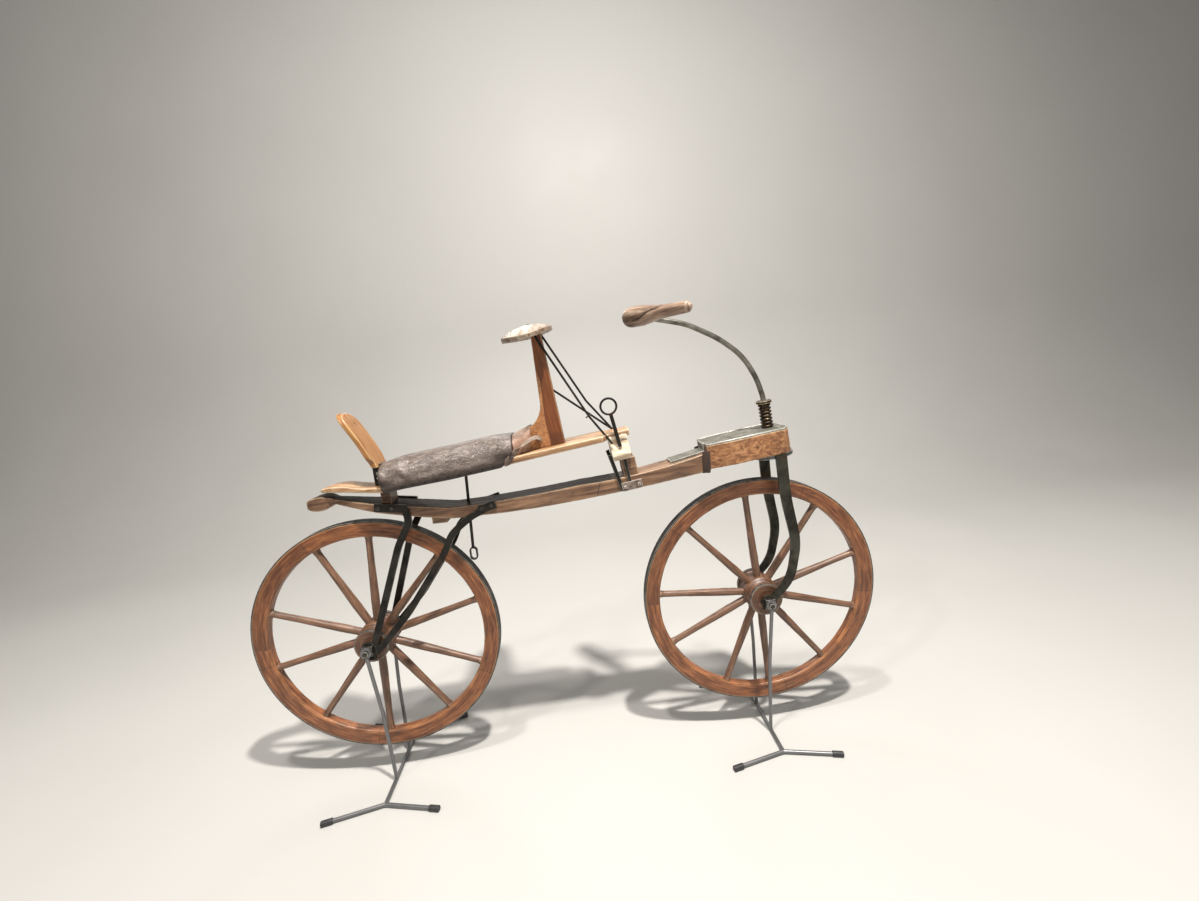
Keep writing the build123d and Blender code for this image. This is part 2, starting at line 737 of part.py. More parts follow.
# Fork and steering
def build_fork():
    crown_top = -block_depth - pivot_gap
    crown_low = crown_top - crown_thickness
    crown = head_plane * Pos(0, 0, (crown_top + crown_low) / 2) * Cylinder(
        crown_radius, crown_thickness
    )
    sleeve_low = plate_thickness + pivot_gap
    collar_low = sleeve_low + sleeve_length
    shaft_top = collar_low + collar_height
    shaft = head_plane * Pos(0, 0, (crown_top + shaft_top) / 2) * Cylinder(
        shaft_radius, shaft_top - crown_top
    )
    pieces["fork_crown"] = crown + shaft
    pitch = sleeve_length / sleeve_rings
    ring_wire_radius = pitch * sleeve_ring_share
    bore = head_plane * Cylinder(shaft_radius + running_gap, beyond)
    sleeve = head_plane * Pos(0, 0, sleeve_low + sleeve_length / 2) * Cylinder(
        sleeve_core_radius, sleeve_length
    )
    for k in range(sleeve_rings):
        ring_height = sleeve_low + pitch / 2 + pitch * k
        sleeve += head_plane * Pos(0, 0, ring_height) * Torus(
            sleeve_radius - ring_wire_radius, ring_wire_radius
        )
    pieces["steering_sleeve"] = sleeve - bore
    collar = head_plane * Pos(0, 0, collar_low + collar_height / 2) * Cylinder(
        collar_radius, collar_height
    )
    pieces["steering_collar"] = collar - bore
    crown_middle = (head_plane * Pos(0, 0, (crown_top + crown_low) / 2)).position
    crown_height = crown_middle.Z - axle_z
    plane = leaning_plane(crown_height, crown_radius + leg_thickness / 2)
    route = [(crown_middle.X, crown_height + crown_thickness)]
    route += [(front_x + x, height) for x, height, width in leg_outline]
    widths = [leg_top_width] + [width for x, height, width in leg_outline]
    leg = plane * flat_bar(route, widths, leg_bends, leg_thickness)
    leg += lug_plate(front_x, fork_lug_drop)
    block_room = head_plane * Pos(0, 0, crown_top + beyond / 2) * Box(beyond, beyond, beyond)
    leg = leg - crown - block_room - along_y(front_x, axle_z, 0, beyond, axle_radius)
    pieces["fork_leg_far"] = leg.solids().sort_by(SortBy.VOLUME)[-1]
    pieces["fork_leg_near"] = mirror(pieces["fork_leg_far"], Plane.XZ)
    stem = (head_plane * Pos(0, 0, shaft_top)).position
    neck = (head_plane * Pos(0, 0, shaft_top + tiller_straight)).position
    route = [stem, neck] + [Vector(head_x - x, 0, head_z + height) for x, height in tiller_route]
    pieces["tiller"] = rod(route, tiller_radius, tiller_bends)


def build_handle():
    turn = math.radians(handle_turn)
    run = Vector(math.sin(turn), -math.cos(turn), 0)
    joint = Vector(head_x - handle_joint[0], 0, head_z + handle_joint[1])
    start = joint - run * (handle_length - handle_reach)
    big = handle_big_radius
    tip = handle_length - handle_tip_round
    outline = RadiusArc((0, 0), (big, big), big)
    outline += Polyline(
        (big, big),
        (handle_belly_length, big),
        (handle_neck_length, handle_neck_radius),
        (tip, handle_small_radius),
        (handle_length, handle_small_radius - handle_tip_round),
        (handle_length, 0),
        (0, 0),
    )
    grip = revolve(make_face(outline), Axis.X)
    pieces["handle"] = Plane(origin=start, x_dir=run, z_dir=(0, 0, 1)) * grip - pieces["tiller"]


build_perch()
build_head()
build_seat()
build_backrest()
build_front_bracket()
build_arm_rest()
build_stays()
build_fork()
build_handle()
for end in axle_x:
    build_wheel(end)
    build_axle(end)
    build_stand(end)

for name, shape in pieces.items():
    shape.label = name
    export_step(shape, f"parts/{name}.step")
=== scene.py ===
from math import cos, pi, radians, sin, sqrt, tan, tau

import bmesh
import bpy
import numpy as np
from mathutils import Matrix, Vector, noise


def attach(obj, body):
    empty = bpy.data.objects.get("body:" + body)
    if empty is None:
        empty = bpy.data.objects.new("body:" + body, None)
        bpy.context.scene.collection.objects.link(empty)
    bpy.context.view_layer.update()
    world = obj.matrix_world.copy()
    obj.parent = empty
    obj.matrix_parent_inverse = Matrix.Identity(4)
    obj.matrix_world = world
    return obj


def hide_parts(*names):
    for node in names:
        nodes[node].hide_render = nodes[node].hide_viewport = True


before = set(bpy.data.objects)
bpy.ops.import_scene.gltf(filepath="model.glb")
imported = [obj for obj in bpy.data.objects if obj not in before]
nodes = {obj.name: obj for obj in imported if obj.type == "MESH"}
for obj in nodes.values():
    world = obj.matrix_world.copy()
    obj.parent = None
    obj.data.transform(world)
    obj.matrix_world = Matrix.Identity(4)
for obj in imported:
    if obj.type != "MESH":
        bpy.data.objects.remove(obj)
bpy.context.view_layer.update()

MM = 0.001


# The view: a wide hand-held shot from the machine's right side, a little above the arm rest. It
# looks slightly down, and the frame is turned a few degrees.
def linked(name, data):
    """A new object of the scene that holds this data."""
    made = bpy.data.objects.new(name, data)
    bpy.context.scene.collection.objects.link(made)
    return made


camera_place = Vector((0.06568, -1.26306, 1.11883))
yaw, pitch, roll = 0.045338, -0.170433, -0.093835
forward = Vector((
    sin(yaw) * cos(pitch),
    cos(yaw) * cos(pitch),
    sin(pitch),
))
level_right = Vector((cos(yaw), -sin(yaw), 0))
level_up = level_right.cross(forward)
right = cos(roll) * level_right + sin(roll) * level_up
up = -sin(roll) * level_right + cos(roll) * level_up
camera_data = bpy.data.cameras.new("view")
camera_data.sensor_width = 36
camera_data.lens = 13.9
camera_data.clip_start = 0.01
camera = linked("view", camera_data)
camera_turn = Matrix((right, up, -forward)).transposed().to_4x4()
camera.matrix_world = Matrix.Translation(camera_place) @ camera_turn
bpy.context.scene.camera = camera

# Studio light: a strong lamp high on the camera's side and two weaker ones to its left throw the
# photograph's shadows. A wide fill, one lamp on the wall and one from behind soften the rest.
lamps = [
    # name, place, aim, size, power, colour
    ("key_lamp", (0.95, -1.25, 4.9), (0.0, 0, 0.5), 0.2, 325, (1.0, 0.96, 0.9)),
    ("second_key_lamp", (-0.4, -1.0, 4.9), (0.0, 0, 0.5), 0.24, 95, (1.0, 0.96, 0.91)),
    ("left_lamp", (-2.6, -2.4, 3.6), (0.0, 0, 0.5), 0.3, 42, (1.0, 0.95, 0.88)),
    ("fill_lamp", (1.6, -3.6, 1.8), (0.1, 0, 0.6), 2.4, 20, (1.0, 0.98, 0.95)),
    ("wall_lamp", (0.0, -0.6, 5.6), (0.0, 4.6, 0.6), 2.2, 45, (1.0, 0.98, 0.96)),
    ("back_lamp", (-0.6, 2.4, 2.6), (0.0, 0, 0.7), 1.0, 12, (1.0, 0.98, 0.95)),
]
for name, place, aim, size, power, tint in lamps:
    lamp_data = bpy.data.lights.new(name, "AREA")
    lamp_data.shape = "DISK"
    lamp_data.size = size
    lamp_data.energy = power
    lamp_data.color = tint
    lamp = linked(name, lamp_data)
    lamp_turn = (Vector(aim) - Vector(place)).to_track_quat("-Z", "Y").to_matrix().to_4x4()
    lamp.matrix_world = Matrix.Translation(place) @ lamp_turn
world = bpy.data.worlds.new("pale_room")
world.use_nodes = True
room_light = world.node_tree.nodes["Background"].inputs
room_light["Color"].default_value = (0.9, 0.88, 0.85, 1)
room_light["Strength"].default_value = 0.22
bpy.context.scene.world = world
bpy.context.scene.view_settings.view_transform = "Standard"


# The floor: one pale sheet that bends up into the back wall, as in a photo studio. It is made
# of smooth painted board, and isn't part of the object.
def pick(piece):
    """Selects this piece alone, or nothing, in object mode."""
    if bpy.context.mode != "OBJECT":
        bpy.ops.object.mode_set(mode="OBJECT")
    bpy.ops.object.select_all(action="DESELECT")
    if piece is not None:
        piece.select_set(True)
        bpy.context.view_layer.objects.active = piece


def add_node(tree, kind, inputs, **settings):
    """A shader node whose inputs are values or other nodes' sockets."""
    made = tree.nodes.new("ShaderNode" + kind)
    for key, value in settings.items():
        setattr(made, key, value)
    for key, value in inputs.items():
        if isinstance(value, bpy.types.NodeSocket):
            tree.links.new(value, made.inputs[key])
        else:
            made.inputs[key].default_value = value
    return made


def calc(tree, operation, *values):
    """A sum of values or sockets."""
    return add_node(tree, "Math", dict(enumerate(values)), operation=operation).outputs[0]


def times(tree, first, second):
    return calc(tree, "MULTIPLY", first, second)


def mixed(tree, share, first, second):
    """The colour between two colours."""
    first, second = [(*tone, 1) if isinstance(tone, tuple) else tone for tone in (first, second)]
    return add_node(tree, "Mix", {0: share, 6: first, 7: second}, data_type="RGBA").outputs[2]


def spread(tree, value, low, high, to_low=0.0, to_high=1.0):
    """A value between low and high, stretched to another range and held there."""
    made = add_node(tree, "MapRange", {0: value, 1: low, 2: high, 3: to_low, 4: to_high})
    return made.outputs[0]


def layer(tree, place, size, detail=4.0, rough=0.55, bend=0.0, turn=(0, 0, 0)):
    """Noise whose features have this size in metres along axes turned by degrees."""
    space = add_node(tree, "Mapping", {
        "Vector": place,
        "Rotation": [radians(angle) for angle in turn],
        "Scale": size if isinstance(size, tuple) else (size, size, size),
    }, vector_type="TEXTURE")
    return add_node(tree, "TexNoise", {
        "Vector": space.outputs[0], "Scale": 1.0,
        "Detail": detail, "Roughness": rough, "Distortion": bend,
    }).outputs[0]


def new_finish(name):
    """A material, its nodes, its shader, and the place on the object that it reads."""
    material = bpy.data.materials.new(name)
    material.use_nodes = True
    tree = material.node_tree
    place = add_node(tree, "TexCoord", {}).outputs["Object"]
    return material, tree, tree.nodes["Principled BSDF"], place


def set_finish(tree, shader, colour, roughness, height=None, strength=0.5, depth=0.0012):
    """Links a finish to its shader: colour, roughness, and relief of a depth in metres."""
    tree.links.new(colour, shader.inputs["Base Color"])
    tree.links.new(roughness, shader.inputs["Roughness"])
    if height is not None:
        relief = {"Height": height, "Strength": strength, "Distance": depth}
        tree.links.new(add_node(tree, "Bump", relief).outputs[0], shader.inputs["Normal"])


def clothe(piece, material):
    piece.data.materials.clear()
    piece.data.materials.append(material)


floor_depth, floor_middle, floor_stretch = 14, -3.6, 3
wall_height, wall_bend = 7, 1.6
floor_paint, tree, shader, place = new_finish("floor_paint")
cloud = layer(tree, place, 0.9)
set_finish(
    tree, shader, mixed(tree, cloud, (0.45, 0.442, 0.425), (0.49, 0.482, 0.465)),
    spread(tree, cloud, 0.3, 0.7, 0.5, 0.62),
)
pick(None)
bpy.ops.mesh.primitive_plane_add(size=floor_depth, location=(0, floor_middle, 0))
floor = bpy.context.object
floor.name = "studio_floor"
floor.scale.x = floor_stretch
bpy.ops.object.transform_apply()
shape = bmesh.new()
shape.from_mesh(floor.data)
back_edge = [e for e in shape.edges if all(v.co.y > 0 for v in e.verts)]
wall = bmesh.ops.extrude_edge_only(shape, edges=back_edge)
for corner in [g for g in wall["geom"] if isinstance(g, bmesh.types.BMVert)]:
    corner.co.z += wall_height
shape.normal_update()
bmesh.ops.bevel(
    shape, geom=back_edge, offset=wall_bend, segments=16, profile=0.5, affect="EDGES",
)
shape.to_mesh(floor.data)
shape.free()
floor.data.shade_smooth()
clothe(floor, floor_paint)


# Perch: the long ash beam that carries seat, head and wheels. It was hewn with a drawknife, is
# dark with old varnish and handling, and has rubbed pale edges and drying cracks along its grain.
def tidy_copy(name, cad_node):
    """A merged copy of a CAD node's mesh, to be worked on as the piece that replaces it."""
    piece = linked(name, nodes[cad_node].data.copy())
    pick(piece)
    piece.data.materials.clear()
    if piece.data.has_custom_normals:
        bpy.ops.mesh.customdata_custom_splitnormals_clear()
    bpy.ops.object.mode_set(mode="EDIT")
    bpy.ops.mesh.select_all(action="SELECT")
    bpy.ops.mesh.remove_doubles(threshold=0.00001)
    bpy.ops.mesh.dissolve_limited(angle_limit=radians(0.4))
    bpy.ops.object.mode_set(mode="OBJECT")
    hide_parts(cad_node)
    return piece


def alter(piece, kind, **settings):
    """Gives a piece a modifier of this kind."""
    modifier = piece.modifiers.new(kind.lower(), kind)
    for key, value in settings.items():
        setattr(modifier, key, value)
    return modifier


def apply_modifiers(piece):
    pick(piece)
    for modifier in list(piece.modifiers):
        bpy.ops.object.modifier_apply(modifier=modifier.name)


def read_points(piece):
    """All points' places and normals, as two arrays."""
    mesh = piece.data
    both = np.empty((2, len(mesh.vertices) * 3), np.float32)
    mesh.vertices.foreach_get("co", both[0])
    mesh.vertex_normals.foreach_get("vector", both[1])
    return both.reshape(2, -1, 3)


def push_points(piece, depth):
    """Moves each point along its normal, by its own depth in metres."""
    place, normal = read_points(piece)
    moved = (place + normal * depth[:, None]).astype(np.float32)
    piece.data.vertices.foreach_set("co", moved.ravel())
    piece.data.update()


def push_out(piece, depth_at):
    """Moves each point along its normal, by the depth in metres for its place."""
    place = read_points(piece)[0]
    push_points(piece, np.array([depth_at(Vector(point)) for point in place.tolist()]))


def write_mark(piece, name, values):
    """Writes one value for each point, which the piece's finish reads."""
    mark = piece.data.attributes.new(name, "FLOAT", "POINT")
    mark.data.foreach_set("value", np.asarray(values).astype(np.float32))


def mark_wear(piece, gain=3.0):
    """Marks how far each point stands out (above 0) or lies in a hollow (below 0)."""
    place, normal = read_points(piece)
    ends = np.empty(len(piece.data.edges) * 2, np.int32)
    piece.data.edges.foreach_get("vertices", ends)
    start, stop = ends.reshape(-1, 2).T
    tally = np.maximum(np.bincount(ends, minlength=len(place)), 1)

    def around(at_start, at_stop):
        """The mean of what its edges bring to each point."""
        brought = np.concatenate((at_start, at_stop))
        return np.bincount(np.concatenate((start, stop)), brought, len(place)) / tally

    step = place[stop] - place[start]
    step /= np.maximum(np.linalg.norm(step, axis=1), 1e-9)[:, None]
    bend = around(-(step * normal[start]).sum(1), (step * normal[stop]).sum(1))
    for turn in range(2):
        bend = (bend + around(bend[stop], bend[start])) / 2
    write_mark(piece, "wear", np.clip(bend * gain, -1, 1))


def put_on(piece, finish, body="root"):
    """Gives a piece its finish and its body."""
    clothe(piece, finish)
    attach(piece, body)


def worn_piece(name, cad_node, hand_work, finish, slot, body="root"):
    """A CAD piece's copy after hand work: an even skin, rubbed edges, faces that wave a little."""
    grid, rubs, dent_depth, dent_size = hand_work
    piece = tidy_copy(name, cad_node)
    piece.data.remesh_voxel_size = grid
    bpy.ops.object.voxel_remesh()
    alter(piece, "SMOOTH", factor=0.5, iterations=rubs)
    apply_modifiers(piece)
    push_out(piece, lambda point: dent_depth * (
        noise.noise(point / dent_size) + 0.5 * noise.noise(point / (0.4 * dent_size))
    ))
    mark_wear(piece)
    piece.data.shade_smooth()
    put_on(piece, finish, body)
    return piece


def mark_on(tree, name):
    """What write_mark wrote under this name, or 0."""
    return add_node(tree, "Attribute", {}, attribute_name=name).outputs["Fac"]


def old_wood(name, dark, middle, light, worn, turn=(0, 0, 0), along=0.15, across=0.009, gloss=0.5,
             cracks=0.5, axle=None, radial=False, joints=0, first_joint=0.0, burr=False,
             seam=None, with_painted_shade=False):
    """Old varnished wood, rubbed where it stands out.

    Its grain lies along the X axis, turned by degrees, or round or out from an axle. joints is
    the number of sawn sections of a ring, and seam is the plane of a glued joint.
    """
    material, tree, shader, place = new_finish(name)
    ring_radius = 0.32
    crack_dark, seam_dark, grime_dark = (0.03, 0.018, 0.012), (0.02, 0.012, 0.008), (0.03, 0.02, 0.015)
    if axle is not None:
        moved = add_node(tree, "VectorMath", {0: place, 1: axle}, operation="SUBTRACT").outputs[0]
        parts = add_node(tree, "SeparateXYZ", {0: moved}).outputs
        angle = calc(tree, "ARCTAN2", parts[2], parts[0])
        flat = add_node(tree, "CombineXYZ", {0: parts[0], 2: parts[2]}).outputs[0]
        out = add_node(tree, "VectorMath", {0: flat}, operation="LENGTH").outputs["Value"]
        arc = times(tree, angle, ring_radius)
        ring = {0: out, 1: arc} if radial else {0: arc, 1: out}
        place = add_node(tree, "CombineXYZ", {**ring, 2: parts[1]}).outputs[0]
    if burr:
        figure = layer(tree, place, (0.03, 0.021, 0.021), 6, 0.68, 2.2, turn)
    else:
        figure = layer(tree, place, (along, across, across), 5, 0.6, 0.5, turn)
    patches = layer(tree, place, (along, across * 7, across * 7), 3, 0.5, 0.3, turn)
    fibres = layer(tree, place, (along * 0.25, across * 0.09, across * 0.09), 3, 0.6, 0, turn)
    ramp = add_node(tree, "ValToRGB", {0: figure})
    tones = ramp.color_ramp.elements
    tones[0].position, tones[0].color = 0.32, (*dark, 1)
    tones[1].position, tones[1].color = 0.68, (*light, 1)
    tones.new(0.5).color = (*middle, 1)
    colour = mixed(tree, spread(tree, patches, 0.42, 0.7, 0, 0.55), ramp.outputs[0], dark)
    colour = mixed(tree, spread(tree, fibres, 0.5, 0.75, 0, 0.35), colour, dark)
    if joints:
        turns = calc(tree, "MULTIPLY_ADD", angle, joints / tau, first_joint)
        section = calc(tree, "FLOOR", turns)
        tone = add_node(tree, "TexWhiteNoise", {"W": section}, noise_dimensions="1D")
        colour = mixed(tree, spread(tree, tone.outputs["Value"], 0, 1, 0, 0.35), colour, dark)
        from_middle = calc(tree, "SUBTRACT", calc(tree, "FRACT", turns), 0.5)
        joint_line = spread(tree, calc(tree, "ABSOLUTE", from_middle), 0.4968, 0.499)
        colour = mixed(tree, times(tree, joint_line, 0.8), colour, seam_dark)
    split = layer(tree, place, (along * 1.6, across * 1.7, across * 1.7), 2, 0.4, 0, turn)
    split = calc(tree, "ABSOLUTE", calc(tree, "SUBTRACT", split, 0.5))
    where = spread(tree, patches, 0.6 - 0.2 * cracks, 0.66 - 0.2 * cracks)
    split = times(tree, spread(tree, split, 0.0, 0.012, 1, 0), where)
    colour = mixed(tree, times(tree, split, 0.85), colour, crack_dark)
    if seam is not None:
        seam_normal, seam_reach = seam
        beside = add_node(tree, "VectorMath", {0: place, 1: seam_normal}, operation="DOT_PRODUCT")
        beside = calc(tree, "SUBTRACT", beside.outputs["Value"], seam_reach)
        seam_line = spread(tree, calc(tree, "ABSOLUTE", beside), 0.0006, 0.0018, 0.85, 0)
        colour = mixed(tree, seam_line, colour, seam_dark)
    wear = mark_on(tree, "wear")
    rubbed = times(tree, spread(tree, wear, 0.1, 0.55), spread(tree, fibres, 0.25, 0.6, 0.25, 1))
    colour = mixed(tree, times(tree, rubbed, 0.75), colour, worn)
    grime = spread(tree, wear, -0.12, -0.6)
    colour = mixed(tree, times(tree, grime, 0.8), colour, grime_dark)
    shader.inputs["Coat Weight"].default_value = 0.12
    shader.inputs["Coat Roughness"].default_value = 0.35
    # Painted shade: where a piece is marked for it, the wood is darkened almost to black and dulled
    if with_painted_shade:
        painted_shade = mark_on(tree, "painted_shade")
        colour = mixed(tree, times(tree, painted_shade, 0.94), colour, (0.016, 0.011, 0.009))
        dull = spread(tree, painted_shade, 0, 1, 0.5, 0.06)
        tree.links.new(dull, shader.inputs["Specular IOR Level"])
        tree.links.new(spread(tree, painted_shade, 0, 0.5, 0.12, 0.0), shader.inputs["Coat Weight"])
    height = calc(tree, "MULTIPLY_ADD", fibres, 0.45, times(tree, figure, 0.6))
    height = calc(tree, "MULTIPLY_ADD", split, -1.2, height)
    roughness = spread(tree, figure, 0.3, 0.7, 1.02 - gloss, 0.82 - gloss)
    set_finish(tree, shader, colour, roughness, height, 0.55)
    return material


perch_wood = old_wood(
    "perch_wood", (0.065, 0.03, 0.016), (0.2, 0.105, 0.056), (0.36, 0.215, 0.125),
    (0.58, 0.42, 0.27), turn=(0, -4, 0), along=0.13, cracks=0.75,
    seam=((0.9588, 0, -0.2841), -0.12295), with_painted_shade=True,
)
perch = worn_piece("perch_beam", "perch", (0.003, 3, 0.0005, 0.045), perch_wood, "perch_wood")
# The seat's shadow is painted on its top, behind this place: those faces are darkened and dulled
shadow_front = 0.165
place, normal = read_points(perch)
faces_up = np.clip((normal[:, 2] - 0.55) / 0.3, 0, 1)
write_mark(perch, "painted_shade", faces_up * np.clip((shadow_front - place[:, 0]) / 0.02, 0, 1))
worn_piece("perch_under_block", "perch_lug", (0.0022, 2, 0.0003, 0.02), perch_wood, "perch_wood")

# Head block: a solid lump of burr wood let on to the perch's front end, which the steering shaft
# turns in. Its sides show the burr's eyes, and its edges are bruised and rubbed.
block_wood = old_wood(
    "burr_wood", (0.07, 0.024, 0.01), (0.33, 0.14, 0.055), (0.58, 0.31, 0.14),
    (0.72, 0.5, 0.29), turn=(0, -7, 0), along=0.12, across=0.01, cracks=0.2, burr=True,
)
head_block = worn_piece(
    "head_block_burr", "head_block", (0.0026, 3, 0.0006, 0.03), block_wood, "burl_wood",
)
# Its underside is planed back, so that the fork turns clear of the dents
planed = 0.0013
push_points(head_block, -planed * np.clip(-read_points(head_block)[1][:, 2], 0, 1))


# Head strap: a dark leather band, nailed round the joint between the perch and the head block. It
# is painted shade: a dark piece set on the shoulder, where the block is wider than the perch, which
# lies in shadow.
def on_surface(piece, start, direction):
    """Where a straight line first meets a piece, and the normal there."""
    piece.data.update()
    bpy.context.view_layer.update()
    struck, place, normal, face = piece.ray_cast(Vector(start), Vector(direction).normalized())
    if not struck:
        raise ValueError(f"no surface of {piece.name} lies there")
    return place, normal


def loft(name, rows, tube=False, ends=True):
    """A skin over rows of points in millimetres. It is a closed tube, or open below."""
    shape = bmesh.new()
    rows = [[shape.verts.new(Vector(point) * MM) for point in row] for row in rows]
    for first, second in zip(rows, rows[1:]):
        for k in range(len(first) if tube else len(first) - 1):
            after = (k + 1) % len(first)
            shape.faces.new((first[k], first[after], second[after], second[k]))
    for row, order in ((rows[0], -1), (rows[-1], 1)) if ends else ():
        last = len(row) - 1
        for k in range(last // 2):
            corners = [row[k], row[k + 1], row[last - 1 - k], row[last - k]]
            shape.faces.new(list(dict.fromkeys(corners))[::order])
    bmesh.ops.recalc_face_normals(shape, faces=shape.faces)
    mesh = bpy.data.meshes.new(name)
    shape.to_mesh(mesh)
    shape.free()
    if not tube and sum(face.normal.z * face.area for face in mesh.polygons) < 0:
        mesh.flip_normals()
    return linked(name, mesh)


def round_edges(piece, width, segments, sharp, **settings):
    """A bevel on the edges that turn by more than an angle in degrees."""
    settings.update(width=width, segments=segments, angle_limit=radians(sharp))
    alter(piece, "BEVEL", limit_method="ANGLE", **settings)


shade_band_hide, tree, shader, place = new_finish("head_shade_band_hide")
band_mottle = layer(tree, place, (0.008, 0.008, 0.02), 4, 0.6)
set_finish(
    tree, shader, mixed(tree, band_mottle, (0.018, 0.011, 0.009), (0.075, 0.042, 0.03)),
    spread(tree, band_mottle, 0.3, 0.7, 0.6, 0.42), band_mottle, 0.5, 0.001,
)
band_wall, band_top, band_climb = 2.2, 876, 0.12
band_sections = [
    # x, half width, x where the perch's underside is felt
    (399, 40.6, 399),
    (408, 46, 408),
    (417, 51.2, 408),
]
strap_rows = []
for x, half, felt_x in band_sections:
    low = on_surface(perch, (felt_x * MM, 0, 0.6), (0, 0, 1))[0].z / MM - 0.6
    high = band_top + (x - 399) * band_climb
    wide = half + band_wall
    inside = [(half, high), (half, low + 6.6), (half - 6, low)]
    outside = [(wide, high), (wide, low + 5.1), (half - 5, low - band_wall)]
    inside = [(-y, z) for y, z in inside] + inside[::-1]
    outside = [(-y, z) for y, z in outside] + outside[::-1]
    strap_rows.append([(x, y, z) for y, z in inside + outside[::-1]])
head_shade_band = loft("head_joint_shade_band", strap_rows, tube=True)
round_edges(head_shade_band, 0.0007, 2, 40)
apply_modifiers(head_shade_band)
bpy.ops.object.shade_smooth_by_angle(angle=radians(35))
put_on(head_shade_band, shade_band_hide)


# Head plate: a forged iron plate screwed on the head block's top, and its tail that steps down
# on to the perch. It is dull greenish grey, with a raised lip of lighter iron.
def forge_edges(piece, width, sharp=32):
    """Forged iron: edges broken by the file and marked, for a lighter paint that is partly wear and
    partly highlight; flat faces kept flat.
    """
    pick(piece)
    piece.data.materials.append(None)
    piece.data.materials.append(None)
    round_edges(piece, width, 2, sharp, material=1)
    apply_modifiers(piece)
    mark = piece.data.attributes.new("wear", "FLOAT", "FACE")
    for face in piece.data.polygons:
        mark.data[face.index].value = float(face.material_index)
        face.material_index = 0
    bpy.ops.object.shade_smooth_by_angle(angle=radians(sharp))
    alter(piece, "WEIGHTED_NORMAL", keep_sharp=True)
    apply_modifiers(piece)


def forged_piece(name, cad_node, edge, finish, body="root", slot="iron"):
    """A CAD piece's copy with forged edges and its finish, on its body."""
    piece = tidy_copy(name, cad_node)
    forge_edges(piece, edge)
    put_on(piece, finish, body)
    return piece


def old_iron(name, dark, light, rubbed, grain=0.02, gloss=0.5, metal=0.75, rust=0.3, dents=0.5):
    """Forged iron: mottled scale, a little rust, bright edges that are partly rubbed and partly
    painted highlight, hammered faces.
    """
    material, tree, shader, place = new_finish(name)
    scale_marks = layer(tree, place, grain, 5, 0.62, 0.4)
    speckle = layer(tree, place, 0.0016, 3, 0.6)
    hammer = layer(tree, place, 0.011, 2, 0.45)
    colour = mixed(tree, spread(tree, scale_marks, 0.38, 0.64), dark, light)
    colour = mixed(tree, spread(tree, speckle, 0.5, 0.8, 0, 0.4), colour, dark)
    rust_marks = spread(tree, layer(tree, place, grain * 1.7, 6, 0.7, 0.6), 0.56, 0.68, 0, rust)
    colour = mixed(tree, rust_marks, colour, (0.16, 0.07, 0.03))
    # The marked edges take the rubbed colour: partly wear, partly a painted highlight on rounded edges
    worn_scale = spread(tree, scale_marks, 0.3, 0.55, 0.3, 1)
    edge = times(tree, spread(tree, mark_on(tree, "wear"), 0.2, 0.9), worn_scale)
    colour = mixed(tree, edge, colour, rubbed)
    shader.inputs["Metallic"].default_value = metal
    roughness = spread(tree, scale_marks, 0.3, 0.7, 1.12 - gloss, 0.88 - gloss)
    height = calc(tree, "MULTIPLY_ADD", hammer, dents, times(tree, speckle, 0.12))
    set_finish(tree, shader, colour, roughness, height)
    return material


def along_line(name, points, radius, finish):
    """A round wire or lip swept along a closed line of points, fixed to the frame."""
    line_data = bpy.data.curves.new(name, "CURVE")
    line_data.dimensions = "3D"
    line_data.bevel_depth = radius
    line_data.bevel_resolution = 3
    spline = line_data.splines.new("POLY")
    spline.points.add(len(points) - 1)
    for spot, point in zip(spline.points, points):
        spot.co = (*point, 1)
    spline.use_cyclic_u = True
    pick(linked(name, line_data))
    bpy.ops.object.convert(target="MESH")
    piece = bpy.context.object
    bpy.ops.object.shade_smooth_by_angle(angle=radians(50))
    put_on(piece, finish)


head_rake = radians(7)
head_origin = Vector((0.6, 0, 0.915))
head_along = Vector((cos(head_rake), 0, sin(head_rake)))
head_axis = Vector((-sin(head_rake), 0, cos(head_rake)))


def on_head(u, v, w):
    """A point by its place along, across and above the head block's top, in millimetres."""
    return head_origin + head_along * u * MM + Vector((0, v * MM, 0)) + head_axis * w * MM


plate_iron = old_iron(
    "plate_iron", (0.115, 0.112, 0.092), (0.27, 0.262, 0.225), (0.66, 0.64, 0.58),
    grain=0.03, gloss=0.45, metal=0.55, rust=0.25,
)
forged_piece("head_plate_iron", "head_plate", 0.0012, plate_iron)
plate_tail = forged_piece("head_plate_tail_iron", "head_plate_tail", 0.001, plate_iron)
lip_iron = old_iron(
    "lip_iron", (0.36, 0.35, 0.32), (0.62, 0.61, 0.57), (0.7, 0.69, 0.65),
    gloss=0.55, metal=0.7, rust=0.1,
)
lip_plan = [
    (-190, -48.5), (-130, -58.2), (20.5, -58.2), (35.2, -44),
    (35.2, 44), (20.5, 58.2), (-130, 58.2), (-190, 48.5),
]
lip_radius, lip_height = 1.5, 4.1
lip_points = [on_head(u, v, lip_height) for u, v in lip_plan]
along_line("head_plate_lip", lip_points, lip_radius * MM, lip_iron)


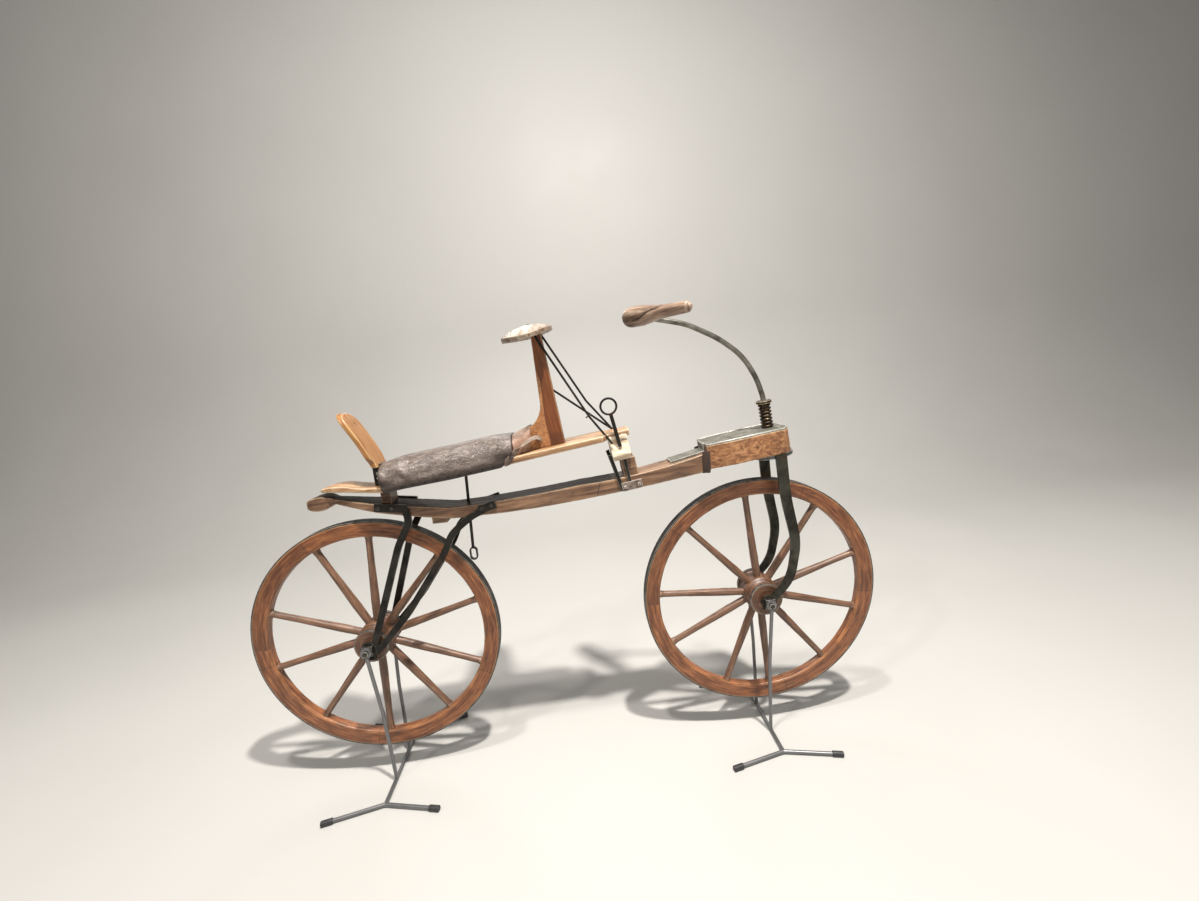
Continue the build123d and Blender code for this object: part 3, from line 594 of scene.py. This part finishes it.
# Screws, nails and bolts: slotted screws hold the iron on the head, and square and domed bolt
# heads hold the stays. Each kind is made once and copied.
def screw_kind(name, radius, height, slotted):
    pick(None)
    bpy.ops.mesh.primitive_cylinder_add(
        vertices=28, radius=radius, depth=height, location=(0, 0, height / 2),
    )
    head = bpy.context.object
    head.name = name
    shape = bmesh.new()
    shape.from_mesh(head.data)
    top = [e for e in shape.edges if all(v.co.z > height * 0.9 for v in e.verts)]
    dome = min(radius, height) * 0.7
    bmesh.ops.bevel(shape, geom=top, offset=dome, segments=4, profile=0.6, affect="EDGES")
    shape.to_mesh(head.data)
    shape.free()
    if slotted:
        bpy.ops.mesh.primitive_cube_add(size=1, location=(0, 0, height))
        saw = bpy.context.object
        saw.scale = (radius * 3, radius * 0.26, height * 0.9)
        alter(head, "BOOLEAN", operation="DIFFERENCE", object=saw, solver="EXACT")
        bpy.context.view_layer.update()
        apply_modifiers(head)
        bpy.data.objects.remove(saw)
    pick(head)
    bpy.ops.object.shade_smooth_by_angle(angle=radians(40))
    head.hide_render = True
    return head


def square_kind(name, side, height, dome):
    """A forged square head or nut with its corners taken off."""
    pick(None)
    bpy.ops.mesh.primitive_cube_add(size=1, location=(0, 0, height / 2))
    head = bpy.context.object
    head.name = name
    head.scale = (side, side, height)
    bpy.ops.object.transform_apply()
    shape = bmesh.new()
    shape.from_mesh(head.data)
    top = [f for f in shape.faces if f.normal.z > 0.9]
    bmesh.ops.inset_region(shape, faces=top, thickness=side * 0.16, depth=dome)
    shape.to_mesh(head.data)
    shape.free()
    forge_edges(head, side * 0.05, 20)
    head.hide_render = True
    return head


def fit(kind, name, place, outward, finish, spin=0.0, size=1.0):
    """A copy of a fastener, with its own mesh, set on a face of the frame."""
    copy = linked(name, kind.data.copy())
    lie = Vector(outward).to_track_quat("Z", "Y").to_matrix().to_4x4()
    lie = lie @ Matrix.Rotation(spin, 4, "Z") @ Matrix.Scale(size, 4)
    copy.data.transform(Matrix.Translation(place) @ lie)
    put_on(copy, finish)


sides = (("near", -1), ("far", 1))


def fit_sides(kind, name, face, spots, *look, on=sides):
    """Copies on side faces of the frame, at places along and above in millimetres."""
    for side, sign in on:
        for k, (x, z) in enumerate(spots):
            spot = Vector((x, sign * face, z)) * MM
            fit(kind, f"{name.format(side)}_{k}", spot, (0, sign, 0), *look)


slotted_screw = screw_kind("slotted_screw_kind", 0.0055, 0.0026, True)
domed_rivet = screw_kind("domed_rivet_kind", 0.0045, 0.0028, False)
square_bolt = square_kind("square_bolt_kind", 0.014, 0.006, 0.0012)
screw_iron = old_iron(
    "screw_iron", (0.3, 0.29, 0.26), (0.6, 0.58, 0.54), (0.78, 0.76, 0.72),
    grain=0.006, gloss=0.6, metal=0.85, rust=0.15,
)
plate_screws = [
    # place along and across the head, slot's turn in degrees
    (-78, -30, 20), (-78, 32, 75), (-168, -36, 130), (-168, 36, 10), (16, -42, 60), (16, 42, 100),
]
for k, (u, v, spin) in enumerate(plate_screws):
    spot = on_head(u, v, 3.8)
    fit(slotted_screw, f"head_plate_screw_{k}", spot, head_axis, screw_iron, radians(spin))
for k, (x, y) in enumerate([(334, -12), (384, -8), (360, 13)]):
    spot, tail_up = on_surface(plate_tail, (x * MM, y * MM, 1.2), (0, 0, -1))
    sunk = spot - tail_up * 0.0002
    fit(slotted_screw, f"tail_screw_{k}", sunk, tail_up, screw_iron, 0.5 + k)

# Wheels: ten turned spokes in five sawn felloes round a turned hub, with a flat iron tyre shrunk
# on. The felloes are orange-brown with the grain round the ring, spokes and hub are greyer.
tyre_iron = old_iron(
    "tyre_iron", (0.009, 0.008, 0.007), (0.028, 0.024, 0.021), (0.24, 0.22, 0.19),
    grain=0.03, gloss=0.36, metal=0.3,
)
band_iron = old_iron(
    "band_iron", (0.05, 0.046, 0.042), (0.14, 0.13, 0.115), (0.42, 0.4, 0.36),
    grain=0.015, rust=0.4,
)
for end, axle_x, first_joint in (("rear", -0.558, 0.37), ("front", 0.558, 0.08)):
    axle, body = (axle_x, 0, 0.43), f"{end}_wheel"
    felloe_wood = old_wood(
        f"{end}_felloe_wood", (0.075, 0.022, 0.008), (0.25, 0.086, 0.03), (0.41, 0.168, 0.063),
        (0.52, 0.28, 0.13), along=0.06, across=0.0065, axle=axle, joints=5,
        first_joint=first_joint, cracks=0.35,
    )
    spoke_wood = old_wood(
        f"{end}_spoke_wood", (0.055, 0.024, 0.013), (0.145, 0.068, 0.038), (0.245, 0.13, 0.075),
        (0.42, 0.27, 0.17), along=0.07, across=0.006, axle=axle, radial=True, cracks=0.25,
    )
    hub_wood = old_wood(
        f"{end}_hub_wood", (0.045, 0.018, 0.01), (0.115, 0.05, 0.026), (0.21, 0.105, 0.056),
        (0.42, 0.25, 0.15), along=0.3, across=0.0042, axle=axle, cracks=0.3,
    )
    wheel_pieces = [
        (worn_piece, "felloe_ring", "felloes", (0.003, 2, 0.0004, 0.03), felloe_wood, "felloe_wood"),
        (forged_piece, "tyre_hoop", "tyre", 0.0012, tyre_iron, "tyre_iron"),
        (worn_piece, "hub_barrel", "hub", (0.0018, 1, 0.0002, 0.02), hub_wood, "spoke_wood"),
        (worn_piece, "spoke_set", "spokes", (0.0025, 1, 0.0003, 0.03), spoke_wood, "spoke_wood"),
        (forged_piece, "hub_hoops", "hub_bands", 0.0007, band_iron, "iron"),
    ]
    for make, name, cad_name, work, finish, slot in wheel_pieces:
        make(f"{end}_{name}", f"{end}_{cad_name}", work, finish, body=body, slot=slot)

# Axles and nuts: plain round iron bars that don't turn, with forged square nuts outside the lugs
# of the stays and the fork.
axle_iron = old_iron(
    "axle_iron", (0.03, 0.027, 0.024), (0.11, 0.1, 0.09), (0.6, 0.58, 0.54),
    grain=0.008, gloss=0.55, metal=0.85,
)
nut_iron = old_iron(
    "nut_iron", (0.035, 0.032, 0.028), (0.13, 0.12, 0.105), (0.72, 0.7, 0.66),
    grain=0.007, gloss=0.58, metal=0.85,
)
for end, body in (("rear", "root"), ("front", "steering")):
    forged_piece(f"{end}_axle_bar", f"{end}_axle", 0.0011, axle_iron, body)
    forged_piece(f"{end}_square_nuts", f"{end}_axle_nuts", 0.0016, nut_iron, body)

# Rear stays: flat bars forged to a fork on each side, bolted to the perch and eyed over the axle.
# They are dark iron, with olive-grey edges that are partly worn and partly painted highlight.
stay_iron = old_iron(
    "stay_iron", (0.01, 0.009, 0.008), (0.04, 0.037, 0.031), (0.42, 0.4, 0.35),
    grain=0.06, gloss=0.6, metal=0.6, rust=0.25, dents=0.35,
)
stay_face, bolt_size = 46.8, 1.35
stay_bolts = [(-478, 814.2), (-442, 809.5), (-208, 782.6), (-183, 789.6)]
bolt_look = (axle_iron, 0, bolt_size)
for side, sign in sides:
    forged_piece(f"stay_{side}_iron", f"stays_{side}", 0.0016, stay_iron)
    one_side = [(side, sign)]
    fit_sides(domed_rivet, "stay_{}_bolt", stay_face, stay_bolts, *bolt_look, on=one_side)

# Fork: two flat legs welded under a round crown, whose shaft goes up through the head block. The
# sleeve's coils and the bronze collar fill the space below the tiller.
crown_iron = old_iron(
    "crown_iron", (0.1, 0.105, 0.105), (0.24, 0.25, 0.25), (0.52, 0.53, 0.52),
    rust=0.2,
)
fork_iron = old_iron(
    "fork_iron", (0.022, 0.021, 0.015), (0.08, 0.077, 0.058), (0.42, 0.4, 0.34),
    grain=0.06, gloss=0.55, metal=0.7, rust=0.2, dents=0.4,
)
forged_piece("fork_crown_disc", "fork_crown", 0.0016, crown_iron, "steering")
for side, sign in sides:
    forged_piece(f"fork_leg_{side}_iron", f"fork_leg_{side}", 0.0016, fork_iron, "steering")
sleeve_iron = old_iron(
    "sleeve_iron", (0.018, 0.015, 0.012), (0.11, 0.075, 0.042), (0.45, 0.33, 0.2),
    grain=0.01, gloss=0.62, metal=0.8, rust=0.35, dents=0.25,
)
collar_bronze = old_iron(
    "collar_bronze", (0.04, 0.027, 0.016), (0.13, 0.095, 0.06), (0.6, 0.5, 0.36),
    grain=0.009, gloss=0.6, metal=0.85, rust=0.1, dents=0.25,
)


def dress_node(cad_node, material):
    """A CAD piece whose shape is right keeps it, and takes a finish."""
    node = nodes[cad_node]
    for spot in node.material_slots:
        spot.material = material
    if not node.material_slots:
        node.data.materials.append(material)


dress_node("steering_sleeve", sleeve_iron)
forged_piece("steering_collar_ring", "steering_collar", 0.0016, collar_bronze, "steering")

# Tiller: a round iron bar bent back from the shaft towards the arm rest. Its colours are lighter
# all over, partly the iron's own grey and partly a painted highlight for its lit top; its underside
# isn't painted darker.
tiller_iron = old_iron(
    "tiller_iron", (0.085, 0.08, 0.062), (0.3, 0.29, 0.245), (0.6, 0.58, 0.52),
    grain=0.05, gloss=0.66, metal=0.7, rust=0.15, dents=0.35,
)
dress_node("tiller", tiller_iron)

# Handle: a carved wooden club on the tiller's end, lying oblique so both hands find it. A groove
# winds round its middle, its far end is thick, and its near end is sawn. Shade is painted in the
# groove and on the far end's sides and underside.
handle_wood = old_wood(
    "handle_wood", (0.11, 0.058, 0.036), (0.3, 0.2, 0.14), (0.5, 0.38, 0.285),
    (0.66, 0.54, 0.42), turn=(0, 0, -49), along=0.09, across=0.01, cracks=0.95, with_painted_shade=True,
)
handle = worn_piece(
    "handle_grip", "handle", (0.0022, 3, 0.0004, 0.03), handle_wood, "felloe_wood", "steering",
)
groove_depth, groove_width, groove_middle, groove_reach = 0.0022, 0.16, -0.012, 0.055
place, normal = read_points(handle)
from_centre = place - place.mean(0)
handle_axis = np.linalg.eigh(np.cov(from_centre.T))[1][:, 2]
handle_axis *= -np.sign(handle_axis[1])
outer_side = np.cross(handle_axis, (0, 0, 1))
along_handle = from_centre @ handle_axis
round_handle = np.arctan2(from_centre[:, 2], from_centre @ outer_side)
groove_line = np.radians(6 + 34 * np.tanh(along_handle / 0.028))
groove = np.exp(-((round_handle - groove_line) / groove_width) ** 2)
groove *= np.clip((groove_reach - np.abs(along_handle - groove_middle)) / 0.02, 0, 1)
chips = np.array([noise.noise(Vector(point) / 0.02) for point in place.tolist()])
push_points(handle, -0.0009 + 0.0007 * chips - groove_depth * groove)
# Painted shade: the far end's faces that don't look up, and the groove, are marked to be darkened
far_end = np.clip(-along_handle / 0.06, 0, 1) * np.clip((0.55 - normal[:, 2]) / 0.5, 0, 1)
write_mark(handle, "painted_shade", np.maximum(far_end * 0.5, groove * 0.85))

# Seat plank: a long sawn board from the tail to the front bracket. It lies on a block at the rear.
plank_wood = old_wood(
    "plank_wood", (0.19, 0.085, 0.036), (0.42, 0.245, 0.125), (0.6, 0.42, 0.25),
    (0.78, 0.64, 0.46), turn=(0, -6, 0), along=0.22, across=0.012, cracks=0.45,
)
worn_piece("seat_plank_board", "seat_plank", (0.0028, 2, 0.0005, 0.05), plank_wood, "light_wood")
seat_block_work = (0.0022, 2, 0.0003, 0.02)
worn_piece("rear_seat_packing", "rear_seat_block", seat_block_work, perch_wood, "felloe_wood")
dress_node("seat_tie_rod", stay_iron)

# Backrest: a bent board of pale wood behind the saddle. An iron clip with two bolts on each side
# holds its foot to the plank.
backrest_wood = old_wood(
    "backrest_wood", (0.2, 0.068, 0.019), (0.35, 0.165, 0.056), (0.48, 0.275, 0.105),
    (0.66, 0.47, 0.24), turn=(0, 63, 0), along=0.16, across=0.012, gloss=0.55, cracks=0.15,
)
worn_piece("backrest_board", "backrest", (0.0024, 5, 0.0005, 0.04), backrest_wood, "light_wood")
forged_piece("backrest_iron_clip", "backrest_clip", 0.001, stay_iron)
clip_face = 19.8
fit_sides(domed_rivet, "clip_{}_bolt", clip_face, [(-474, 903), (-474, 891)], screw_iron)


# Saddle: a long roll of stuffing under one hide, pulled round the plank's edges and tacked below.
# The hide is grey-brown, with a painted silvery sheen on top and painted shade below, and is swelled
# here by simulation.
def old_leather(name, dark, light, rubbed, gloss=0.6, wrinkle=0.5, under=0.3):
    """Old hide: mottled and crinkled, with a painted sheen where it looks up and painted shade below.
    """
    material, tree, shader, place = new_finish(name)
    mottle = layer(tree, place, (0.016, 0.009, 0.009), 6, 0.62, 0.5)
    streak = layer(tree, place, (0.026, 0.009, 0.009), 6, 0.68, 0.8, (0, -7, 0))
    pores = layer(tree, place, 0.0014, 3, 0.6)
    cells = add_node(
        tree, "Mapping", {"Vector": place, "Scale": (0.006, 0.011, 0.011)}, vector_type="TEXTURE",
    )
    cells = add_node(
        tree, "TexVoronoi", {"Vector": cells.outputs[0], "Scale": 1.0, "Randomness": 1.0},
        feature="DISTANCE_TO_EDGE",
    )
    crease = spread(tree, cells.outputs["Distance"], 0.0, 0.12, 1, 0)
    colour = mixed(tree, spread(tree, mottle, 0.35, 0.68), dark, light)
    # Painted light: faces that look away from above are darkened as shade, by the share under, and
    # faces that look up take the rubbed colour as a painted sheen
    lit_from_above = mark_on(tree, "lit_from_above")
    shade = tuple(channel * 0.5 for channel in dark)
    colour = mixed(tree, spread(tree, lit_from_above, 0.0, 0.6, under, 0), colour, shade)
    painted_sheen = times(tree, spread(tree, streak, 0.4, 0.62, 0.2, 1), lit_from_above)
    colour = mixed(tree, painted_sheen, colour, rubbed)
    colour = mixed(tree, times(tree, crease, 0.3), colour, dark)
    wear = mark_on(tree, "wear")
    colour = mixed(tree, spread(tree, wear, 0.12, 0.5, 0, 0.4), colour, rubbed)
    colour = mixed(tree, spread(tree, wear, -0.06, -0.3, 0, 0.8), colour, (0.035, 0.022, 0.018))
    shader.inputs["Specular IOR Level"].default_value = 0.55
    roughness = spread(tree, streak, 0.35, 0.7, 1.06 - gloss, 0.86 - gloss)
    height = calc(tree, "MULTIPLY_ADD", mottle, wrinkle, times(tree, pores, 0.25))
    height = calc(tree, "MULTIPLY_ADD", crease, -0.25, height)
    set_finish(tree, shader, colour, roughness, height, 0.7, 0.0016)
    return material


def mark_lit_from_above(piece, lean):
    """Marks the faces that look up and a little to the sides, where the finish paints a sheen; the
    rest get painted shade.
    """
    normal = read_points(piece)[1]
    aim = Vector((0, lean, 1)).normalized()
    share = np.abs(normal[:, 1] * aim.y) + normal[:, 2] * aim.z
    write_mark(piece, "lit_from_above", np.clip((share - 0.35) / 0.55, 0, 1))


def height_on(line, x):
    """The height of a line of points at x, in millimetres."""
    return float(np.interp(x, *zip(*line)))


def quarter(share):
    """How far a quarter circle has risen, at a share of its run."""
    return sqrt(1 - (1 - min(1.0, share)) ** 2)


def dress_leather(piece, fineness, leather, wear_gain, lean):
    """Subdivides, marks and clothes a piece of hide on the frame."""
    alter(piece, "SUBSURF", levels=fineness, render_levels=fineness)
    apply_modifiers(piece)
    mark_wear(piece, wear_gain)
    mark_lit_from_above(piece, lean)
    piece.data.shade_smooth()
    put_on(piece, leather)


# Its rubbed colour is mostly a painted sheen on top, and under gives a strong painted shade below
saddle_leather = old_leather(
    "saddle_leather", (0.032, 0.02, 0.016), (0.08, 0.055, 0.044), (0.23, 0.19, 0.168),
    gloss=0.75, wrinkle=1.8, under=0.92,
)
plank_top = [
    (-632, 874), (-590, 881), (-540, 874), (-470, 869), (-400, 882),
    (-275, 895), (-150, 912), (30, 935), (206, 958),
]
plank_underside = [
    (-632, 866), (-590, 866), (-540, 861), (-470, 857), (-400, 866),
    (-275, 878), (-150, 894), (30, 919), (206, 942),
]
saddle_back, saddle_front, saddle_step = -454, -100, 5
saddle_half, saddle_rise, saddle_lean = 66, 51, 0.128
saddle_rows = []
for x in range(saddle_back, saddle_front + 1, saddle_step):
    fullness = 0.9 + 0.1 * quarter((saddle_front - x) / 16)
    fullness *= quarter((x - saddle_back) / 9)
    top = height_on(plank_top, x)
    wall = top - height_on(plank_underside, x)
    # The skirt hangs over the plank's edge, but not at the roll's two ends
    skirt = min(1.0, (x + 460) / 14) * min(1.0, max(0.0, (-118 - x) / 22))
    half = saddle_half - 2 * (1 - fullness)
    rise = saddle_rise * (0.9 + 0.1 * fullness)
    ring = [
        (half + 0.6, top - (wall + 1.5) * skirt - 0.5),
        (half + 1.8, top - wall * 0.6 * skirt),
        (half + 1.0, top + 1),
    ]
    for angle in [pi / 16 * k for k in range(1, 9)]:
        across = (half + 1.2) * max(0.0, cos(angle)) ** 0.72
        ring.append((across, top + 4 + rise * sin(angle) ** 0.87))
    ring += [(-y, z) for y, z in reversed(ring[:-1])]
    saddle_rows.append([(x - saddle_lean * (z - top), y, z) for y, z in ring])
saddle = loft("saddle_hide", saddle_rows)
pick(saddle)
bpy.ops.object.mode_set(mode="EDIT")
bpy.ops.mesh.select_all(action="SELECT")
bpy.ops.mesh.subdivide(number_cuts=1, smoothness=0)
bpy.ops.object.mode_set(mode="OBJECT")


def above_plank(point, gap):
    """Whether a place is more than a gap in millimetres above the plank's top."""
    return point.z > (height_on(plank_top, point.x / MM) + gap) * MM


def from_ends(point):
    """How far a place is from the nearer end of the roll, in metres."""
    return min(point.x - saddle_back * MM, saddle_front * MM - point.x)


def name_points(piece, name, wanted):
    """Groups the points whose places are wanted."""
    group = piece.vertex_groups.new(name=name)
    group.add([v.index for v in piece.data.vertices if wanted(v.co)], 1.0, "REPLACE")


name_points(saddle, "held", lambda point: not above_plank(point, 3))
end_swell, middle_swell = 0.0012, 0.0045
last_tick = 20
rest_places = [v.co.copy() for v in saddle.data.vertices]
stuffing = alter(saddle, "CLOTH")
stuffing.settings.vertex_group_mass = "held"
stuffing.settings.use_pressure = True
stuffing.settings.uniform_pressure_force = 4
stuffing.settings.effector_weights.gravity = 0
stuffing.settings.tension_stiffness = 12
stuffing.settings.bending_stiffness = 0.3
stuffing.settings.shrink_min = -0.03
stuffing.point_cache.frame_start = 1
stuffing.point_cache.frame_end = last_tick
for tick in range(1, last_tick + 1):
    bpy.context.scene.frame_set(tick)
apply_modifiers(saddle)
for point, rest in zip(saddle.data.vertices, rest_places):
    moved = point.co - rest
    furthest = end_swell + middle_swell * min(1.0, max(0.0, from_ends(rest) / 0.07))
    if rest.x < (saddle_back + 3) * MM:
        moved.x = max(moved.x, -end_swell)
    if moved.length > furthest:
        point.co = rest + moved * (furthest / moved.length)
bpy.context.scene.frame_set(1)


def saddle_creases(point):
    """Cross folds of the hide, deepest near the roll's two ends."""
    if not above_plank(point, 2):
        return 0
    x, y, z = point / MM
    pull = noise.noise(Vector((x / 11, y / 46, z / 60)))
    pull += 0.6 * noise.noise(Vector((x / 5.5, y / 25, z / 30)))
    near_ends = max(0, 1 - (x - saddle_back) / 60) + max(0, 1 - (saddle_front - x) / 70)
    return pull * (0.14 + 0.3 * near_ends) * MM


name_points(saddle, "loose", lambda point: from_ends(point) > 0.009 and above_plank(point, 4))
alter(saddle, "SMOOTH", factor=0.5, iterations=14, vertex_group="loose")
apply_modifiers(saddle)
push_out(saddle, saddle_creases)
alter(saddle, "SOLIDIFY", thickness=0.0022, offset=1.0)
dress_leather(saddle, 1, saddle_leather, 1.5, -0.45)
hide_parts("saddle")

# Cuff: a softer, browner piece of the same hide that closes the saddle's front end and is pulled
# up round the foot of the arm rest's post.
cuff_leather = old_leather(
    "cuff_leather", (0.27, 0.145, 0.095), (0.52, 0.325, 0.23), (0.66, 0.48, 0.37),
    gloss=0.5,
)
cuff_back, cuff_length, cuff_steps, cuff_points = -112, 50, 12, 16
cuff_rows = []
for share in [k / cuff_steps for k in range(cuff_steps + 1)]:
    x = cuff_back + share * cuff_length
    top = height_on(plank_top, x)
    half = 52 - 24 * share ** 0.8
    rise = 50 + 19 * share
    row = []
    for k in range(cuff_points + 1):
        angle = pi * k / cuff_points
        side = np.sign(cuff_points / 2 - k)
        row.append((
            x + 6 * sin(angle) * share,
            half * abs(cos(angle)) ** 0.7 * side,
            top + 1 + rise * max(0.0, sin(angle)) ** 0.75,
        ))
    cuff_rows.append(row)
cuff = loft("saddle_front_cuff", cuff_rows, ends=False)
wrinkle_depth, wrinkle_size = 0.0016, Vector((9, 30, 14)) * MM
push_out(cuff, lambda point: wrinkle_depth * noise.noise(
    Vector(a / b for a, b in zip(point, wrinkle_size))
))
alter(cuff, "SOLIDIFY", thickness=0.0024, offset=0.0)
dress_leather(cuff, 2, cuff_leather, 2.0, -0.3)
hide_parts("saddle_cuff")

# Strap: the loose end of the thong that closes the hide. It comes from under the plank, curls
# up over the tongue and ends against the post.
strap_leather = old_leather(
    "strap_leather", (0.085, 0.052, 0.036), (0.21, 0.15, 0.108), (0.36, 0.285, 0.22),
    gloss=0.5, wrinkle=0.3,
)
strap_line = [Vector(point) for point in (
    (-122, -67.6, 897), (-123, -68.5, 903), (-119, -68.5, 911), (-109, -66, 921),
    (-96, -60, 932), (-80, -50, 944), (-64, -41, 954), (-52, -34, 959), (-42, -29, 959),
    (-34, -25, 955), (-30, -23, 950),
)]
strap_width, strap_thick = 15, 2.2
# Which way its width lies: up the plank's side for the first five points, then over the post
lean_low, lean_high, low_points = Vector((0.55, 0.3, -0.45)), Vector((0.25, 0.8, 0.55)), 5
strap_rows = []
for k, here in enumerate(strap_line):
    ahead = strap_line[min(k + 1, len(strap_line) - 1)] - strap_line[max(k - 1, 0)]
    ahead.normalize()
    lean = lean_low if k < low_points else lean_high
    across = (lean - ahead * lean.dot(ahead)).normalized() * strap_width / 2
    wall = ahead.cross(across).normalized() * strap_thick / 2
    strap_rows.append([
        here + across * a + wall * b for a, b in ((-1, -1), (1, -1), (1, 1), (-1, 1))
    ])
strap = loft("saddle_strap", strap_rows, tube=True)
round_edges(strap, 0.0006, 1, 50)
dress_leather(strap, 2, strap_leather, 3.0, -0.6)

# Tacks: a row of small iron tacks driven through the hide's edge, into both sides of the plank.
# They are black with age.
tack = screw_kind("tack_kind", 0.0024, 0.0014, False)
tack_face, tack_start, tack_step, tack_count = 69.4, -398, 30, 9
tack_row = [tack_start + k * tack_step for k in range(tack_count)]
tack_row = [(x, height_on(plank_underside, x) + 4.5) for x in tack_row]
fit_sides(tack, "hide_tack_{}", tack_face, tack_row, stay_iron)

# Arm rest: an oval board, hollowed below and domed on top, bleached by sun and elbows. It is
# nailed on a flat post of orange-brown wood whose gusset runs down to the saddle.
board_wood = old_wood(
    "board_wood", (0.13, 0.068, 0.035), (0.29, 0.22, 0.16), (0.4, 0.345, 0.285),
    (0.55, 0.5, 0.43), turn=(0, 0, 90), along=0.14, across=0.011,
)
worn_piece("arm_rest_board", "arm_board", (0.0024, 3, 0.0005, 0.03), board_wood, "felloe_wood")
post_wood = old_wood(
    "post_wood", (0.09, 0.025, 0.007), (0.2, 0.058, 0.016), (0.31, 0.11, 0.033),
    (0.62, 0.36, 0.17), turn=(0, 80, 0), along=0.16, across=0.01, cracks=0.4,
)
post = worn_piece("arm_rest_post", "arm_post", (0.0024, 2, 0.0004, 0.04), post_wood, "felloe_wood")
# The gusset is paler burr wood, with a dark glue line where it meets the post; the foot is darkened, a
# painted shadow
gusset_line = [(0.943, -0.0075), (1.001, -0.0146), (1.107, -0.017), (1.26, -0.06)]
foot_top = 0.972
place = read_points(post)[0]
ahead_of_line = place[:, 0] - np.interp(place[:, 2], *zip(*gusset_line))
write_mark(post, "gusset", np.clip(-ahead_of_line / 0.008 + 0.5, 0, 1))
low_part = np.clip((foot_top - place[:, 2]) / 0.01, 0, 1)
write_mark(post, "foot", low_part * np.clip(ahead_of_line / 0.004, 0, 1))
tree = post_wood.node_tree
shader = tree.nodes["Principled BSDF"]
colour = shader.inputs["Base Color"].links[0].from_socket
place = add_node(tree, "TexCoord", {}).outputs["Object"]
burr_eyes = spread(tree, layer(tree, place, (0.012, 0.012, 0.008), 6, 0.7, 1.8), 0.36, 0.62)
gusset_colour = mixed(tree, burr_eyes, (0.25, 0.088, 0.03), (0.54, 0.26, 0.105))
gusset = mark_on(tree, "gusset")
colour = mixed(tree, spread(tree, gusset, 0.35, 0.65), colour, gusset_colour)
glue_line = times(tree, spread(tree, gusset, 0.12, 0.34), spread(tree, gusset, 0.66, 0.5))
colour = mixed(tree, times(tree, glue_line, 0.55), colour, (0.05, 0.02, 0.01))
# Painted shadow on the foot
colour = mixed(tree, times(tree, mark_on(tree, "foot"), 0.6), colour, (0.085, 0.03, 0.014))
tree.links.new(colour, shader.inputs["Base Color"])
# The board's dome: its middle's x, its crown's height, its falls along and across, its tilt
dome_x, dome_top, fall_along, fall_across, dome_tilt = -43, 1252, 304, 676, radians(10.5)
for k, (x, y) in enumerate([(-32, -11), (-22, 12), (-30, 8)]):
    run = x - dome_x
    top = dome_top - run ** 2 / fall_along - y ** 2 / fall_across + tan(dome_tilt) * run
    spot = Vector((x, y, top - 0.6)) * MM
    fit(tack, f"arm_board_nail_{k}", spot, (0.15, 0, 1), stay_iron, size=1.2)

# Rods and front bracket: thin iron rods brace the post to a wooden block under the plank's tongue,
# which stands on two cheeks clamped to the perch by flat iron links.
for cad_node in ("arm_rods", "ring_screw"):
    dress_node(cad_node, stay_iron)
band_middle = Vector((100.5, -36.5, 1003))
band_radius, band_steps = 1.6, 20
band_points = [
    (band_middle + Vector((6.5 * cos(turn), 5 * sin(turn), 3.5 * cos(turn)))) * MM
    for turn in [tau * k / band_steps for k in range(band_steps)]
]
along_line("rod_band", band_points, band_radius * MM, stay_iron)
cream_wood = old_wood(
    "cream_wood", (0.4, 0.26, 0.15), (0.66, 0.53, 0.38), (0.8, 0.7, 0.55),
    (0.88, 0.81, 0.68), along=0.08, cracks=0.4,
)
bracket_work = (0.0022, 2, 0.0004, 0.025)
worn_piece("bracket_wood_block", "bracket_block", bracket_work, cream_wood, "felloe_wood")
worn_piece("bracket_cheeks", "bracket_risers", bracket_work, perch_wood, "light_wood")
clamp_iron = old_iron(
    "clamp_iron", (0.1, 0.072, 0.055), (0.31, 0.255, 0.215), (0.66, 0.6, 0.54),
    grain=0.012, gloss=0.45, metal=0.35, rust=0.5, dents=0.3,
)
forged_piece("bracket_iron_links", "bracket_links", 0.0011, stay_iron)
forged_piece("bracket_iron_clamps", "bracket_clamps", 0.0011, clamp_iron)
clamp_face, clamp_x, clamp_z, clamp_slope = 47.8, 201, 805, 0.1405
clamp_bolts = [(x, clamp_z + (x - clamp_x) * clamp_slope) for x in (182, 220)]
fit_sides(square_bolt, "clamp_{}_bolt", clamp_face, clamp_bolts, clamp_iron, 0.14, 0.55)

# Museum stands: a bent grey steel rod on each side with an eye over the axle's end, welded to two
# feet with black plastic caps. They lift both wheels off the floor.
stand_steel, tree, shader, place = new_finish("stand_steel")
brushed = layer(tree, place, (0.004, 0.004, 0.03), 3, 0.5)
blotch = layer(tree, place, 0.05, 3, 0.5)
shader.inputs["Metallic"].default_value = 0.8
set_finish(
    tree, shader, mixed(tree, blotch, (0.14, 0.14, 0.145), (0.24, 0.24, 0.245)),
    spread(tree, brushed, 0.3, 0.7, 0.34, 0.48), brushed, 0.15, 0.0005,
)
cap_plastic, tree, shader, place = new_finish("cap_plastic")
scuff = layer(tree, place, 0.006, 4, 0.6)
scuffed = spread(tree, scuff, 0.5, 0.8)
set_finish(
    tree, shader, mixed(tree, scuffed, (0.018, 0.018, 0.019), (0.055, 0.055, 0.055)),
    spread(tree, scuff, 0.3, 0.7, 0.42, 0.62),
)
for end, body in (("rear", "root"), ("front", "steering")):
    dress_node(f"{end}_stand_frame", stand_steel)
    caps = f"{end}_stand_caps"
    forged_piece(f"{end}_foot_caps", caps, 0.0022, cap_plastic, body, "cap_plastic")

# The fasteners' patterns go.
for kind in (slotted_screw, domed_rivet, square_bolt, tack):
    bpy.data.objects.remove(kind)
